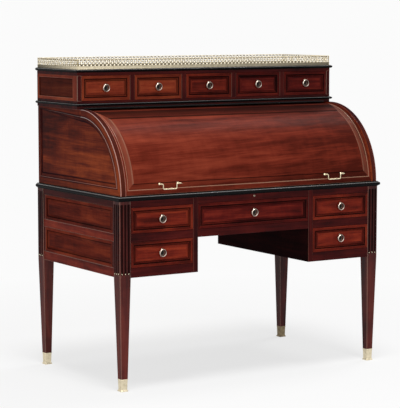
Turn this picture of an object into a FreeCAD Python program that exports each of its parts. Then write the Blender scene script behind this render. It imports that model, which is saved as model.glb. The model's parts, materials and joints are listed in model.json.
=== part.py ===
"""Cylinder desk: a fluted case on tapering legs, a cylinder fall with its writing slide, and a row of
small drawers above.  Millimetres, +Z up, front towards -Y, origin under the middle of the whole desk."""
import FreeCAD, Part
import os
import re

# The upper case holds a row of drawers of one size
UPPER_DRAWERS = 5

# Driving dimensions, in millimetres, degrees and counts.  The open cylinder stands behind its axis, so
# the case is deeper than twice the cheek radius by the back board and some room.
SIZES = {
    # lower case
    "case_width": 1270,
    "case_depth": 708,
    "case_bottom": 456,
    "post_size": 50,
    "side_inset": 3,
    "side_board": 22,
    "pedestal_width": 340,
    "pedestal_wall": 22,
    "bottom_rail": 38,
    "mid_rail": 32,
    "top_rail": 26,
    "rail_depth": 45,
    "runner_board": 12,
    "guide_height": 30,
    "back_board": 12,
    "back_inset": 4,
    "waist_height": 20,
    # legs
    "leg_foot": 30,
    "sabot_height": 50,
    "sabot_waist": 27,
    "sabot_lip": 34,
    "lip_height": 7,
    "spigot_size": 20,
    "spigot_length": 36,
    "flute_radius": 4.5,
    "flute_pitch": 15,
    "flute_margin": 16,
    "flute_count": 3,
    "tip_gap": 0.1,
    # drawers
    "drawer_height": 104,
    "drawer_gap": 1,
    "front_board": 20,
    "box_board": 9,
    "box_bottom": 6,
    "box_lift": 6,
    "box_headroom": 14,
    "runner_gap": 0.3,
    "lower_back_gap": 112,
    "upper_back_gap": 24,
    "frame_band": 13,
    "frame_bevel": 7,
    "panel_recess": 4,
    # ring pulls
    "ring_radius": 13.5,
    "ring_wire": 2.5,
    "ring_stand": 9,
    "eye_hole": 3.65,
    "eye_head": 5.5,
    "eye_stem": 4,
    "eye_base": 7.5,
    "base_height": 1.5,
    "eye_nose": 5,
    # cheeks and cylinder
    "cheek_radius": 326,
    "cheek_inset": 6,
    "cheek_thickness": 24,
    "cheek_frame": 28,
    "cheek_band": 18,
    "cheek_step": 2.5,
    "hollow_radius": 9,
    "hollow_depth": 4,
    "cylinder_floor_gap": 1,
    "cylinder_side_gap": 1.5,
    "cylinder_drop": 6,
    "cylinder_sweep": 100,
    "stave_thickness": 18,
    "stave_count": 8,
    "veneer": 2,
    "band_proud": 1.5,
    "band_width": 24,
    "band_margin": 22,
    "quadrant_plate": 5,
    "quadrant_inset": 1,
    "quadrant_sweep": 62,
    "quadrant_start": 16,
    "quadrant_rim": 34,
    "quadrant_spoke": 10,
    "quadrant_web": 70,
    "hub_radius": 16,
    "hub_slot_gap": 2,
    "pin_radius": 6,
    "pin_clearance": 0.06,
    "pin_seat": 12,
    "pin_nose": 2,
    # bail handles
    "bail_inset": 198.5,
    "bail_width": 63,
    "bail_arm": 22,
    "bail_drop": 21,
    "bail_wire": 2.5,
    "bail_height": 40,
    "bail_stand": 9,
    "post_radius": 4.5,
    "bail_clearance": 0.06,
    # writing slide and letter rack
    "slide_thickness": 20,
    "slide_depth": 500,
    "slide_front_gap": 19,
    "slide_side_gap": 2,
    "leather_margin": 45,
    "leather_depth": 300,
    "leather_thickness": 1.5,
    "rack_board": 8,
    "rack_end": 16,
    "rack_end_gap": 6,
    "rack_lift": 4,
    "rack_height": 120,
    "rack_depth": 170,
    "rack_clearance": 16,
    "rack_bays": 6,
    # upper case
    "upper_setback": 22,
    "upper_inset": 3,
    "frieze_height": 12,
    "floor_moulding": 10,
    "floor_lip": 10,
    "upper_side": 18,
    "upper_divider": 22,
    "upper_drawer_height": 104,
    "upper_top": 13,
    "upper_panel_margin": 38,
    "upper_panel_rise": 13,
    "cornice_height": 12,
    "moulding_proud": 9,
    "moulding_seat": 6,
    # gallery and escutcheon
    "gallery_height": 42,
    "gallery_sheet": 2.5,
    "gallery_setback": 2,
    "gallery_rail": 10,
    "gallery_base": 12,
    "gallery_rim": 6,
    "lozenge_pitch": 13,
    "lozenge_width": 9,
    "key_radius": 5.5,
    "key_hole": 2.2,
    "key_thickness": 1.5,
    "key_drop": 9,
}

doc = FreeCAD.newDocument("CylinderDesk")
sheet = doc.addObject("Spreadsheet::Sheet", "Dims")
for line, (alias, value) in enumerate(SIZES.items(), start=1):
    sheet.set(f"A{line}", alias)
    sheet.set(f"B{line}", str(value))
    sheet.setAlias(f"B{line}", alias)
doc.recompute()

# Places along each axis, as formulas of the driving dimensions
PULL_REACH = "(ring_stand + eye_nose - panel_recess)"
HALF = "(case_width / 2)"
FRONT = f"({PULL_REACH} / 2 - case_depth / 2)"
BACK = f"({FRONT} + case_depth)"
BACK_FACE = f"({BACK} - back_inset)"
BACK_INNER = f"({BACK_FACE} - back_board)"
POST_X = f"({HALF} - post_size)"
SIDE_OUT = f"({HALF} - side_inset)"
SIDE_IN = f"({SIDE_OUT} - side_board)"
WALL_OUT = f"({POST_X} - pedestal_width + post_size)"
WALL_IN = f"({WALL_OUT} - pedestal_wall)"
LOWER_FLOOR = "(case_bottom + bottom_rail)"
LOWER_TOP = f"({LOWER_FLOOR} + drawer_height)"
ROW_FLOOR = f"({LOWER_TOP} + mid_rail)"
ROW_TOP = f"({ROW_FLOOR} + drawer_height)"
WAIST = f"({ROW_TOP} + top_rail)"
BED = f"({WAIST} + waist_height)"
AXIS_Z = f"({BED} + cylinder_floor_gap)"
AXIS_Y = f"({FRONT} + cheek_radius)"
CHEEK_OUT = f"({HALF} - cheek_inset)"
CHEEK_IN = f"({CHEEK_OUT} - cheek_thickness)"
CHEEK_TOP = f"({AXIS_Z} + cheek_radius)"
SHELL_X = f"({CHEEK_IN} - cylinder_side_gap)"
SHELL_OUT = "(cheek_radius - cylinder_drop)"
STAVE_OUT = f"({SHELL_OUT} - veneer)"
SHELL_IN = f"({STAVE_OUT} - stave_thickness)"
BAND_OUT = f"({SHELL_OUT} + band_proud)"
UPPER_X = f"({HALF} - upper_inset)"
UPPER_FRONT = f"({AXIS_Y} + upper_setback)"
FRIEZE_TOP = f"({CHEEK_TOP} + frieze_height)"
FLOOR_MOULD_TOP = f"({FRIEZE_TOP} + floor_moulding)"
UPPER_FLOOR = f"({FLOOR_MOULD_TOP} + floor_lip)"
UPPER_OPEN_TOP = f"({UPPER_FLOOR} + upper_drawer_height)"
CORNICE = f"({UPPER_OPEN_TOP} + upper_top)"
TOP = f"({CORNICE} + cornice_height)"
UPPER_IN = f"({UPPER_X} - upper_side)"
QUADRANT_OUT = f"({SHELL_X} - quadrant_inset)"
PIN_IN = f"({QUADRANT_OUT} - quadrant_plate - pin_nose)"
BAIL_X = f"({SHELL_X} - bail_inset)"
UPPER_OPEN = f"((2 * {UPPER_IN} - {UPPER_DRAWERS - 1} * upper_divider) / {UPPER_DRAWERS})"
UPPER_PITCH = f"({UPPER_OPEN} + upper_divider)"

X_AXIS = FreeCAD.Vector(1, 0, 0)
Y_AXIS = FreeCAD.Vector(0, 1, 0)
Z_AXIS = FreeCAD.Vector(0, 0, 1)
ALONG_X = FreeCAD.Rotation(Y_AXIS, 90)
ALONG_Y = FreeCAD.Rotation(X_AXIS, -90)
FACING_LEFT = FreeCAD.Rotation(Z_AXIS, -90)
UPRIGHT = FreeCAD.Rotation(X_AXIS, 90)
# Local x towards the front, local y up and local z towards -X, for sectors round the cylinder's axis
ROUND_AXIS = FreeCAD.Rotation(-Y_AXIS, Z_AXIS, -X_AXIS, "ZXY")

# Finished sub-parts, and the bright tips at the feet of the left-hand flutes
nodes = []
tips = []


def with_sheet(formula):
    """The formula with every driving dimension named as a cell of the sheet."""
    return re.sub(r"[a-z][a-z_]*", lambda m: f"Dims.{m[0]}" if m[0] in SIZES else m[0], str(formula))


def bind(item, prop, formula):
    item.setExpression(prop, with_sheet(formula))


def size(alias):
    return sheet.get(alias)


def value_of(formula):
    """A formula's number, worked out by the sheet."""
    cell = "D1"
    sheet.set(cell, "=" + re.sub(r"Dims\.", "", with_sheet(formula)))
    doc.recompute()
    number = float(sheet.get(cell))
    sheet.clear(cell)
    return number


def place(item, x, y, z):
    for axis, formula in (("x", x), ("y", y), ("z", z)):
        bind(item, f"Placement.Base.{axis}", formula)
    return item


def board(name, x, y, z):
    """A straight board between its lower and upper limits along each axis."""
    item = doc.addObject("Part::Box", name)
    for prop, (low, high) in (("Length", x), ("Width", y), ("Height", z)):
        bind(item, prop, f"({high}) - ({low})")
    return place(item, x[0], y[0], z[0])


def rod(name, radius, length, turn, x, y, z):
    """A round rod that starts at a point and runs along Z, turned as asked."""
    item = doc.addObject("Part::Cylinder", name)
    bind(item, "Radius", radius)
    bind(item, "Height", length)
    item.Placement.Rotation = turn
    return place(item, x, y, z)


def cross_hole(name, radius, reach, x, y, z):
    """A hole along X through a round head, as far to one side as to the other."""
    return rod(name, radius, f"2 * ({reach})", ALONG_X, f"{x} - ({reach})", y, z)


def ball(name, radius, x, y, z):
    item = doc.addObject("Part::Sphere", name)
    bind(item, "Radius", radius)
    return place(item, x, y, z)


def frustum(name, turn, near, far, x, y, z):
    """A solid that tapers along its own Y from one rectangle to another: (level, x0, x1, z0, z1)."""
    item = doc.addObject("Part::Wedge", name)
    for prop, formula in zip(("Ymin", "Xmin", "Xmax", "Zmin", "Zmax"), near):
        bind(item, prop, formula)
    for prop, formula in zip(("Ymax", "X2min", "X2max", "Z2min", "Z2max"), far):
        bind(item, prop, formula)
    item.Placement.Rotation = turn
    return place(item, x, y, z)


def fuse(name, pieces):
    item = doc.addObject("Part::MultiFuse", name)
    item.Shapes = pieces
    item.Refine = True
    return item


def cut(name, base, *tools):
    """The base with the tools taken away."""
    tool = tools[0] if len(tools) == 1 else fuse(f"{name}_tools", list(tools))
    item = doc.addObject("Part::Cut", name)
    item.Base = base
    item.Tool = tool
    return item


def common(name, first, second):
    item = doc.addObject("Part::Common", name)
    item.Base = first
    item.Tool = second
    return item


def mirrored(name, source):
    """The right-hand twin of a left-hand piece."""
    item = doc.addObject("Part::Mirroring", name)
    item.Source = source
    item.Normal = X_AXIS
    return item


def pair(name, source):
    return [source, mirrored(f"{name}_right", source)]


def node(label, *pieces):
    """A finished sub-part: one piece, or a group of separate pieces under one name."""
    item = pieces[0]
    if len(pieces) > 1:
        item = doc.addObject("Part::Compound", label)
        item.Links = list(pieces)
    item.Label = label
    nodes.append(item)
    return item


def sector(name, radius, x0, x1, start, sweep):
    """A slice of a round disc about the cylinder's axis; angles rise from the front."""
    item = doc.addObject("Part::Cylinder", name)
    bind(item, "Radius", radius)
    bind(item, "Height", f"({x1}) - ({x0})")
    bind(item, "Angle", sweep)
    item.Placement.Rotation = FreeCAD.Rotation(X_AXIS, -start) * ROUND_AXIS
    return place(item, x1, AXIS_Y, AXIS_Z)


def arched(name, inner, outer, x0, x1, start, sweep):
    """A curved slab between two radii about the cylinder's axis."""
    rim = sector(f"{name}_rim", outer, x0, x1, start, sweep)
    core = sector(f"{name}_core", inner, x0, x1, start, sweep)
    return cut(name, rim, core)


def front_recess(name, x, z, face):
    """The sunk field of a moulded front: a bevelled hollow inside the frame band."""
    levels = (("0", "frame_band"), ("panel_recess", "(frame_band + frame_bevel)"))
    near, far = [(level, f"{x[0]} + {edge}", f"{x[1]} - {edge}", f"{z[0]} + {edge}", f"{z[1]} - {edge}")
                 for level, edge in levels]
    return frustum(name, FreeCAD.Rotation(), near, far, "0", face, "0")


def side_recess(name, y, z, face):
    """The same hollow in a board whose face looks to -X."""
    x = (f"-({y[1]})", f"-({y[0]})")
    hollow = front_recess(name, x, z, "0")
    hollow.Placement.Rotation = FACING_LEFT
    return place(hollow, face, "0", "0")


def flutes(name, x, y, step):
    """The half-round flutes of one post face, side by side along X or Y, with round ends."""
    low = "(case_bottom + flute_margin)"
    high = f"({WAIST} - flute_margin)"
    pieces = []
    for number in range(int(size("flute_count"))):
        shift = f"(({number} - (flute_count - 1) / 2) * flute_pitch)"
        fx = f"{x} + {shift}" if step == "x" else x
        fy = f"{y} + {shift}" if step == "y" else y
        run = f"{high} - {low}"
        pieces.append(rod(f"{name}_{number}", "flute_radius", run, FreeCAD.Rotation(), fx, fy, low))
        pieces.append(ball(f"{name}_{number}_top", "flute_radius", fx, fy, high))
        pieces.append(ball(f"{name}_{number}_foot", "flute_radius", fx, fy, low))
        tips.append(ball(f"{name}_{number}_tip", "flute_radius - tip_gap", fx, fy, low))
    return pieces


def square_taper(name, low, high, mid_x, mid_y):
    """An upright square taper between two (level, width) pairs."""
    near, far = [(level, f"-({width}) / 2", f"({width}) / 2", f"-({width}) / 2", f"({width}) / 2")
                 for level, width in (low, high)]
    return frustum(name, UPRIGHT, near, far, mid_x, mid_y, "0")


def spigot(name, mid_x, mid_y):
    """The square tenon at the foot of a leg, which is also the shape of its socket."""
    half = "spigot_size / 2"
    x = (f"{mid_x} - {half}", f"{mid_x} + {half}")
    y = (f"{mid_y} - {half}", f"{mid_y} + {half}")
    return board(name, x, y, ("sabot_height - spigot_length", "sabot_height"))


def leg(name, y0, fluted_front):
    """A left-hand post that tapers below the case and ends in a square spigot."""
    x0 = f"-{HALF}"
    mid_x = f"({x0} + post_size / 2)"
    mid_y = f"({y0} + post_size / 2)"
    square_x = (x0, f"{x0} + post_size")
    square_y = (y0, f"{y0} + post_size")
    post = board(f"{name}_post", square_x, square_y, ("case_bottom", WAIST))
    foot = ("sabot_height", "leg_foot")
    taper = square_taper(f"{name}_taper", foot, ("case_bottom", "post_size"), mid_x, mid_y)
    whole = fuse(f"{name}_solid", [post, taper, spigot(f"{name}_spigot", mid_x, mid_y)])
    grooves = flutes(f"{name}_side_flute", x0, mid_y, "y")
    if fluted_front:
        grooves += flutes(f"{name}_front_flute", mid_x, y0, "x")
    return cut(name, whole, *grooves)


def sabot(name, y0):
    """A brass shoe: a tapering cup on a wider lip, with a square socket for the spigot."""
    mid_x = f"(-{HALF} + post_size / 2)"
    mid_y = f"({y0} + post_size / 2)"
    mouth = ("sabot_height", "leg_foot")
    cup = square_taper(f"{name}_cup", ("lip_height / 2", "sabot_waist"), mouth, mid_x, mid_y)
    lip = square_taper(f"{name}_lip", ("0", "sabot_lip"), ("lip_height", "sabot_waist"), mid_x, mid_y)
    return cut(name, fuse(f"{name}_solid", [cup, lip]), spigot(f"{name}_socket", mid_x, mid_y))


def moulding(name, half_x, face, z0, z1):
    """Three mitred half-round sticks: front, left and right, seated in the case and standing proud of it."""
    radius = f"((({z1}) - ({z0})) / 2)"
    middle = f"((({z1}) + ({z0})) / 2)"
    out_x = f"({half_x} + moulding_proud)"
    in_x = f"({half_x} - moulding_seat)"
    out_y = f"({face} - moulding_proud)"
    in_y = f"({face} + moulding_seat)"
    bar = board(f"{name}_front_bar", (f"-{out_x}", out_x), (f"{out_y} + {radius}", in_y), (z0, z1))
    nose_y = f"{out_y} + {radius}"
    nose = rod(f"{name}_front_nose", radius, f"2 * {out_x}", ALONG_X, f"-{out_x}", nose_y, middle)
    mitre = frustum(f"{name}_front_mitre", FreeCAD.Rotation(), (out_y, f"-{out_x}", out_x, z0, z1),
                    (in_y, f"-{in_x}", in_x, z0, z1), "0", "0", "0")
    front = common(f"{name}_front", fuse(f"{name}_front_solid", [bar, nose]), mitre)
    bar = board(f"{name}_left_bar", (f"-{out_x} + {radius}", f"-{in_x}"), (out_y, BACK), (z0, z1))
    nose_x = f"-{out_x} + {radius}"
    nose = rod(f"{name}_left_nose", radius, f"{BACK} - {out_y}", ALONG_Y, nose_x, out_y, middle)
    mitre = frustum(f"{name}_left_mitre", FACING_LEFT, (f"-{out_x}", f"-{BACK}", f"-{out_y}", z0, z1),
                    (f"-{in_x}", f"-{BACK}", f"-{in_y}", z0, z1), "0", "0", "0")
    left = common(f"{name}_left", fuse(f"{name}_left_solid", [bar, nose]), mitre)
    return [front] + pair(f"{name}_left", left)


def drawer(label, x, z0, height, face, back_gap):
    """A drawer in its opening: a moulded front board, a plain box behind it, and a ring in an eye."""
    z1 = f"({z0} + {height})"
    front_x = (f"({x[0]} + drawer_gap)", f"({x[1]} - drawer_gap)")
    front_z = (f"({z0} + drawer_gap)", f"({z1} - drawer_gap)")
    box_y = f"({face} + front_board)"
    box_end = f"({BACK_INNER} - {back_gap})"
    floor_z = f"({z0} + runner_gap)"
    rim_z = f"({z1} - box_headroom)"
    left_in = f"({front_x[0]} + box_board)"
    right_in = f"({front_x[1]} - box_board)"
    slab = board(f"{label}_slab", front_x, (face, box_y), front_z)
    front = cut(f"{label}_front", slab, front_recess(f"{label}_field", front_x, front_z, face))
    left = board(f"{label}_left", (front_x[0], left_in), (box_y, box_end), (floor_z, rim_z))
    right = board(f"{label}_right", (right_in, front_x[1]), (box_y, box_end), (floor_z, rim_z))
    back = board(f"{label}_back", (left_in, right_in), (f"{box_end} - box_board", box_end), (floor_z, rim_z))
    bottom_z = (f"{floor_z} + box_lift", f"{floor_z} + box_lift + box_bottom")
    bottom = board(f"{label}_bottom", (left_in, right_in), (box_y, f"{box_end} - box_board"), bottom_z)
    node(label, front, left, right, back, bottom)
    ring_pull(label, f"(({x[0]} + {x[1]}) / 2)", f"({face} + panel_recess)", f"({z0} + {height} / 2)")


def ring_pull(label, x, field, z):
    """An eye on the drawer's field, with a ring that hangs in it and is centred on the drawer."""
    eye_z = f"({z} + ring_radius)"
    eye_y = f"({field} - ring_stand)"
    outward = FreeCAD.Rotation(X_AXIS, 90)
    base = rod(f"{label}_eye_base", "eye_base", "base_height", outward, x, field, eye_z)
    stem = rod(f"{label}_eye_stem", "eye_stem", "ring_stand", outward, x, field, eye_z)
    head = ball(f"{label}_eye_head", "eye_head", x, f"{eye_y} - eye_nose + eye_head", eye_z)
    hole = cross_hole(f"{label}_eye_hole", "eye_hole", "eye_head + eye_hole", x, eye_y, eye_z)
    node(f"{label}_eye", cut(f"{label}_eye_cut", fuse(f"{label}_eye_solid", [base, stem, head]), hole))
    ring = doc.addObject("Part::Torus", f"{label}_ring")
    bind(ring, "Radius1", "ring_radius")
    bind(ring, "Radius2", "ring_wire")
    ring.Placement.Rotation = UPRIGHT
    node(f"{label}_ring", place(ring, x, eye_y, z))


def lower_case():
    """The posts, panelled sides, rails, pedestal walls, runner boards and backs under the waist."""
    back_post = f"({BACK} - post_size)"
    front_leg = leg("leg_front", FRONT, True)
    back_leg = leg("leg_back", back_post, False)
    node("front_legs", *pair("leg_front", front_leg))
    node("back_legs", *pair("leg_back", back_leg))
    node("leg_sabots", *pair("sabot_front", sabot("sabot_front", FRONT)),
         *pair("sabot_back", sabot("sabot_back", back_post)))
    left_tips = list(tips)
    node("flute_tips", *left_tips, *[mirrored(f"{tip.Name}_right", tip) for tip in left_tips])
    side_y = (f"({FRONT} + post_size)", back_post)
    slab = board("lower_side_slab", (f"-{SIDE_OUT}", f"-{SIDE_IN}"), side_y, ("case_bottom", WAIST))
    field_y = (f"{side_y[0]} + frame_band", f"{side_y[1]} - frame_band")
    fields = [side_recess(f"lower_side_field_{row}", field_y, (z0, f"{z0} + drawer_height"), f"-{SIDE_OUT}")
              for row, z0 in enumerate((LOWER_FLOOR, ROW_FLOOR))]
    node("lower_sides", *pair("lower_side", cut("lower_side", slab, *fields)))
    wall_x = (f"-{WALL_OUT}", f"-{WALL_IN}")
    wall = board("pedestal_wall_left", wall_x, (FRONT, BACK_FACE), ("case_bottom", WAIST))
    node("pedestal_walls", *pair("pedestal_wall", wall))

    rail_y = (FRONT, f"{FRONT} + rail_depth")
    bay = (f"-{POST_X}", f"-{WALL_OUT}")
    middle = (f"-{WALL_IN}", WALL_IN)
    heights = {"bottom": ("case_bottom", LOWER_FLOOR), "mid": (LOWER_TOP, ROW_FLOOR), "top": (ROW_TOP, WAIST)}
    rails = []
    for name, z in heights.items():
        rails += pair(f"rail_{name}", board(f"rail_{name}_left", bay, rail_y, z))
        if name != "bottom":
            rails.append(board(f"rail_{name}_middle", middle, rail_y, z))
    node("front_rails", *rails)

    shelf_y = (rail_y[1], BACK_INNER)
    runners = []
    for name, z in (("lower", LOWER_FLOOR), ("row", ROW_FLOOR)):
        shelf = board(f"runner_{name}", bay, shelf_y, (f"{z} - runner_board", z))
        guide = board(f"guide_{name}", (f"-{SIDE_IN}", f"-{POST_X}"), side_y,
                      (f"{z} - runner_board", f"{z} + guide_height"))
        runners += pair(f"runner_{name}", shelf) + pair(f"guide_{name}", guide)
    runners.append(board("runner_middle", middle, shelf_y, (f"{ROW_FLOOR} - runner_board", ROW_FLOOR)))
    node("drawer_runners", *runners)

    node("key_escutcheon", cut("key_plate", *[
        rod(f"key_{part}", radius, "key_thickness", UPRIGHT, "0", FRONT, f"{WAIST} - key_drop")
        for part, radius in (("disc", "key_radius"), ("hole", "key_hole"))]))
    node("desk_bed", bed())
    node("waist_moulding", *moulding("waist", HALF, FRONT, WAIST, BED))


def bed():
    """The board at the waist, slotted at each end for the cylinder's hub and its pin."""
    edge = f"({HALF} - moulding_seat)"
    slab = board("bed_slab", (f"-{edge}", edge), (f"{FRONT} + moulding_seat", BACK), (WAIST, BED))
    reach = "(hub_radius + hub_slot_gap)"
    slot = board("bed_slot_left", (f"-({CHEEK_IN} + pin_seat)", f"-{PIN_IN} + hub_slot_gap"),
                 (f"{AXIS_Y} - {reach}", f"{AXIS_Y} + {reach}"), (WAIST, BED))
    return cut("bed_board", slab, *pair("bed_slot", slot))


def back_boards():
    """Thin boards that close the back of each pedestal, the middle bay, the cylinder and the upper case."""
    y = (BACK_INNER, BACK_FACE)
    bay = (f"-{POST_X}", f"-{WALL_OUT}")
    pedestal = board("back_pedestal", bay, y, (f"{LOWER_FLOOR} - runner_board", WAIST))
    middle = board("back_middle", (f"-{WALL_IN}", WALL_IN), y, (f"{ROW_FLOOR} - runner_board", WAIST))
    cylinder = board("back_cylinder", (f"-{CHEEK_IN}", CHEEK_IN), y, (BED, CHEEK_TOP))
    upper = board("back_upper", (f"-{UPPER_IN}", UPPER_IN), y, (UPPER_FLOOR, UPPER_OPEN_TOP))
    node("back_boards", *pair("back_pedestal", pedestal), middle, cylinder, upper)


def quarter_panel(name, depth, edge):
    """A quarter-round hollow in the cheek's outer face, set in from its arc, foot and back by one edge."""
    x = (f"-{CHEEK_OUT}", f"-{CHEEK_OUT} + {depth}")
    radius = f"(cheek_radius - {edge})"
    arc = sector(f"{name}_arc", radius, *x, 0, "90")
    rear = board(f"{name}_rear", x, (AXIS_Y, f"{BACK} - {edge}"), (AXIS_Z, f"{AXIS_Z} + {radius}"))
    above = board(f"{name}_above", x, (FRONT, BACK), (f"{BED} + {edge}", CHEEK_TOP))
    return common(name, fuse(f"{name}_outline", [arc, rear]), above)


def cheeks():
    """The quarter-round ends: an arched edge with a hollow worked along it, and a stepped outer panel."""
    x = (f"-{CHEEK_OUT}", f"-{CHEEK_IN}")
    arc = sector("cheek_arc", "cheek_radius", *x, 0, "90")
    rear = board("cheek_rear", x, (AXIS_Y, BACK), (AXIS_Z, CHEEK_TOP))
    foot = board("cheek_foot", x, (FRONT, BACK), (BED, AXIS_Z))
    blank = fuse("cheek_blank", [arc, rear, foot])
    hollow = doc.addObject("Part::Torus", "cheek_hollow")
    bind(hollow, "Radius1", "cheek_radius + hollow_radius - hollow_depth")
    bind(hollow, "Radius2", "hollow_radius")
    hollow.Angle3 = 90
    hollow.Placement.Rotation = ROUND_AXIS
    place(hollow, f"-({CHEEK_OUT} + {CHEEK_IN}) / 2", AXIS_Y, AXIS_Z)
    frame = quarter_panel("cheek_frame_step", "cheek_step", "cheek_frame")
    field = quarter_panel("cheek_field_step", "(2 * cheek_step)", "(cheek_frame + cheek_band)")
    pin_end = f"-{CHEEK_IN} - pin_seat"
    pin_hole = rod("cheek_pin_hole", "pin_radius", "pin_seat", ALONG_X, pin_end, AXIS_Y, AXIS_Z)
    left = cut("cheek_left_blank", blank, hollow, frame, field, pin_hole)
    node("cheek_left", left)
    node("cheek_right", mirrored("cheek_right_blank", left))
    pin = rod("pivot_pin", "pin_radius", f"-{PIN_IN} - ({pin_end})", ALONG_X, pin_end, AXIS_Y, AXIS_Z)
    node("cylinder_pivots", *pair("pivot_pin", pin))


def cylinder():
    """The fall: coopered staves under a veneer, with a frame band, and an iron quadrant at each end."""
    full = (f"-{SHELL_X}", SHELL_X)
    count = int(size("stave_count"))
    step = size("cylinder_sweep") / count
    sweep = "cylinder_sweep / stave_count"
    staves = [arched(f"stave_{number}", SHELL_IN, STAVE_OUT, *full, number * step, sweep)
              for number in range(count)]
    node("cylinder_staves", *staves)
    node("cylinder_veneer", arched("veneer_sheet", STAVE_OUT, SHELL_OUT, *full, 0, "cylinder_sweep"))

    low_angle = f"(band_margin / {SHELL_OUT} * 180 / pi)"
    high_angle = f"((band_margin + band_width) / {SHELL_OUT} * 180 / pi)"
    low = value_of(low_angle)
    outer = f"({SHELL_X} - band_margin)"
    inner = f"({outer} - band_width)"
    rest = f"cylinder_sweep - {low_angle}"
    side = arched("band_left", SHELL_OUT, BAND_OUT, f"-{outer}", f"-{inner}", low, rest)
    foot = arched("band_foot", SHELL_OUT, BAND_OUT, f"-{inner}", inner, low, f"{high_angle} - {low_angle}")
    node("cylinder_band", *pair("band_left", side), foot)

    plate_x = (f"-{QUADRANT_OUT}", f"-{QUADRANT_OUT} + quadrant_plate")
    start = size("quadrant_start")
    plate = sector("quadrant_sector", SHELL_IN, *plate_x, start, "quadrant_sweep")
    window_rim = sector("quadrant_window_rim", f"{SHELL_IN} - quadrant_rim", *plate_x,
                        start + size("quadrant_spoke"), "quadrant_sweep - 2 * quadrant_spoke")
    web, hub, bore = [rod(f"quadrant_{name}", radius, "quadrant_plate", ALONG_X, plate_x[0], AXIS_Y, AXIS_Z)
                      for name, radius in (("web", "quadrant_web"), ("hub", "hub_radius"),
                                           ("bore", "pin_radius + pin_clearance"))]
    window = cut("quadrant_window", window_rim, web)
    left = cut("quadrant_left", fuse("quadrant_solid", [plate, hub]), window, bore)
    node("cylinder_quadrants", *pair("quadrant", left))


def bails():
    """Two squared bail handles whose out-turned ends lie in eye posts on the cylinder's frame band."""
    z = f"({AXIS_Z} + bail_height)"
    seat = f"({AXIS_Y} - sqrt({BAND_OUT}^2 - bail_height^2))"
    y = f"({seat} - bail_stand)"
    post_x = "(bail_width / 2 + bail_arm / 2)"
    # A post is cut off by the drum of the band's face, so it starts out long enough to enter it
    drum = rod("bail_seat_drum", BAND_OUT, f"2 * {HALF}", ALONG_X, f"-{HALF}", AXIS_Y, AXIS_Z)
    stem_length = "2 * (bail_stand + post_radius)"
    eyes = []
    for side, sign in (("outer", "-"), ("inner", "+")):
        x = f"(-{BAIL_X} {sign} {post_x})"
        stem = rod(f"bail_post_{side}", "post_radius", stem_length, ALONG_Y, x, f"{y} - post_radius", z)
        hole = cross_hole(f"bail_hole_{side}", "bail_wire + bail_clearance", "2 * post_radius", x, y, z)
        post = cut(f"bail_post_{side}_cut", stem, drum, hole)
        eyes += pair(f"bail_post_{side}", post)
    node("bail_posts", *eyes)

    left = f"(-{BAIL_X} - bail_width / 2)"
    right = f"(-{BAIL_X} + bail_width / 2)"
    foot = f"({z} - bail_drop)"
    upright = FreeCAD.Rotation()
    pieces = [
        rod("bail_arm_outer", "bail_wire", "bail_arm", ALONG_X, f"{left} - bail_arm", y, z),
        rod("bail_arm_inner", "bail_wire", "bail_arm", ALONG_X, right, y, z),
        rod("bail_drop_outer", "bail_wire", "bail_drop", upright, left, y, foot),
        rod("bail_drop_inner", "bail_wire", "bail_drop", upright, right, y, foot),
        rod("bail_grip", "bail_wire", "bail_width", ALONG_X, left, y, foot),
    ]
    corners = ((left, z), (right, z), (left, foot), (right, foot))
    pieces += [ball(f"bail_corner_{number}", "bail_wire", x, y, level)
               for number, (x, level) in enumerate(corners)]
    handle = fuse("bail_left_wire", pieces)
    node("bail_left", handle)
    node("bail_right", mirrored("bail_right_wire", handle))


def writing_slide():
    """The slide on the bed, with a leather let into its top, and the letter rack that spans it."""
    front = f"({AXIS_Y} - {SHELL_IN} + slide_front_gap)"
    back = f"({front} + slide_depth)"
    rack_out = f"({PIN_IN} - rack_end_gap)"
    rack_in = f"({rack_out} - rack_end)"
    edge = f"({rack_in} - slide_side_gap)"
    low = f"({BED} + runner_gap)"
    high = f"({low} + slide_thickness)"
    slab = board("slide_slab", (f"-{edge}", edge), (front, back), (low, high))
    skin = [(f"-{edge} + leather_margin", f"{edge} - leather_margin"),
            (f"{front} + leather_margin", f"{front} + leather_margin + leather_depth"),
            (f"{high} - leather_thickness", high)]
    node("writing_slide", cut("slide_board", slab, board("slide_recess", *skin)))
    node("slide_leather", board("leather_sheet", *skin))

    floor = f"({high} + rack_lift)"
    top = f"({floor} + rack_height)"
    # The rack keeps one clearance from the turning cylinder and from the back board
    shell_y = f"{AXIS_Y} + sqrt(({SHELL_IN} - rack_clearance)^2 - ({top} - {AXIS_Z})^2)"
    back_y = f"min({shell_y}; {BACK_INNER} - rack_clearance)"
    rack_y = (f"({back_y} - rack_depth)", back_y)
    inside_y = (rack_y[0], f"({back_y} - rack_board)")
    inside_z = (f"{floor} + rack_board", f"{top} - rack_board")
    span = (f"-{rack_in}", rack_in)
    boards = pair("rack_end", board("rack_end_left", (f"-{rack_out}", f"-{rack_in}"), rack_y, (BED, top)))
    boards.append(board("rack_floor", span, inside_y, (floor, f"{floor} + rack_board")))
    boards.append(board("rack_top", span, inside_y, (f"{top} - rack_board", top)))
    boards.append(board("rack_back", span, (inside_y[1], back_y), (floor, top)))
    for number in range(1, int(size("rack_bays"))):
        x = f"({number} / rack_bays * 2 - 1) * {rack_in}"
        boards.append(board(f"rack_divider_{number}", (f"{x} - rack_board / 2", f"{x} + rack_board / 2"),
                            inside_y, inside_z))
    node("letter_rack", *boards)


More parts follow.
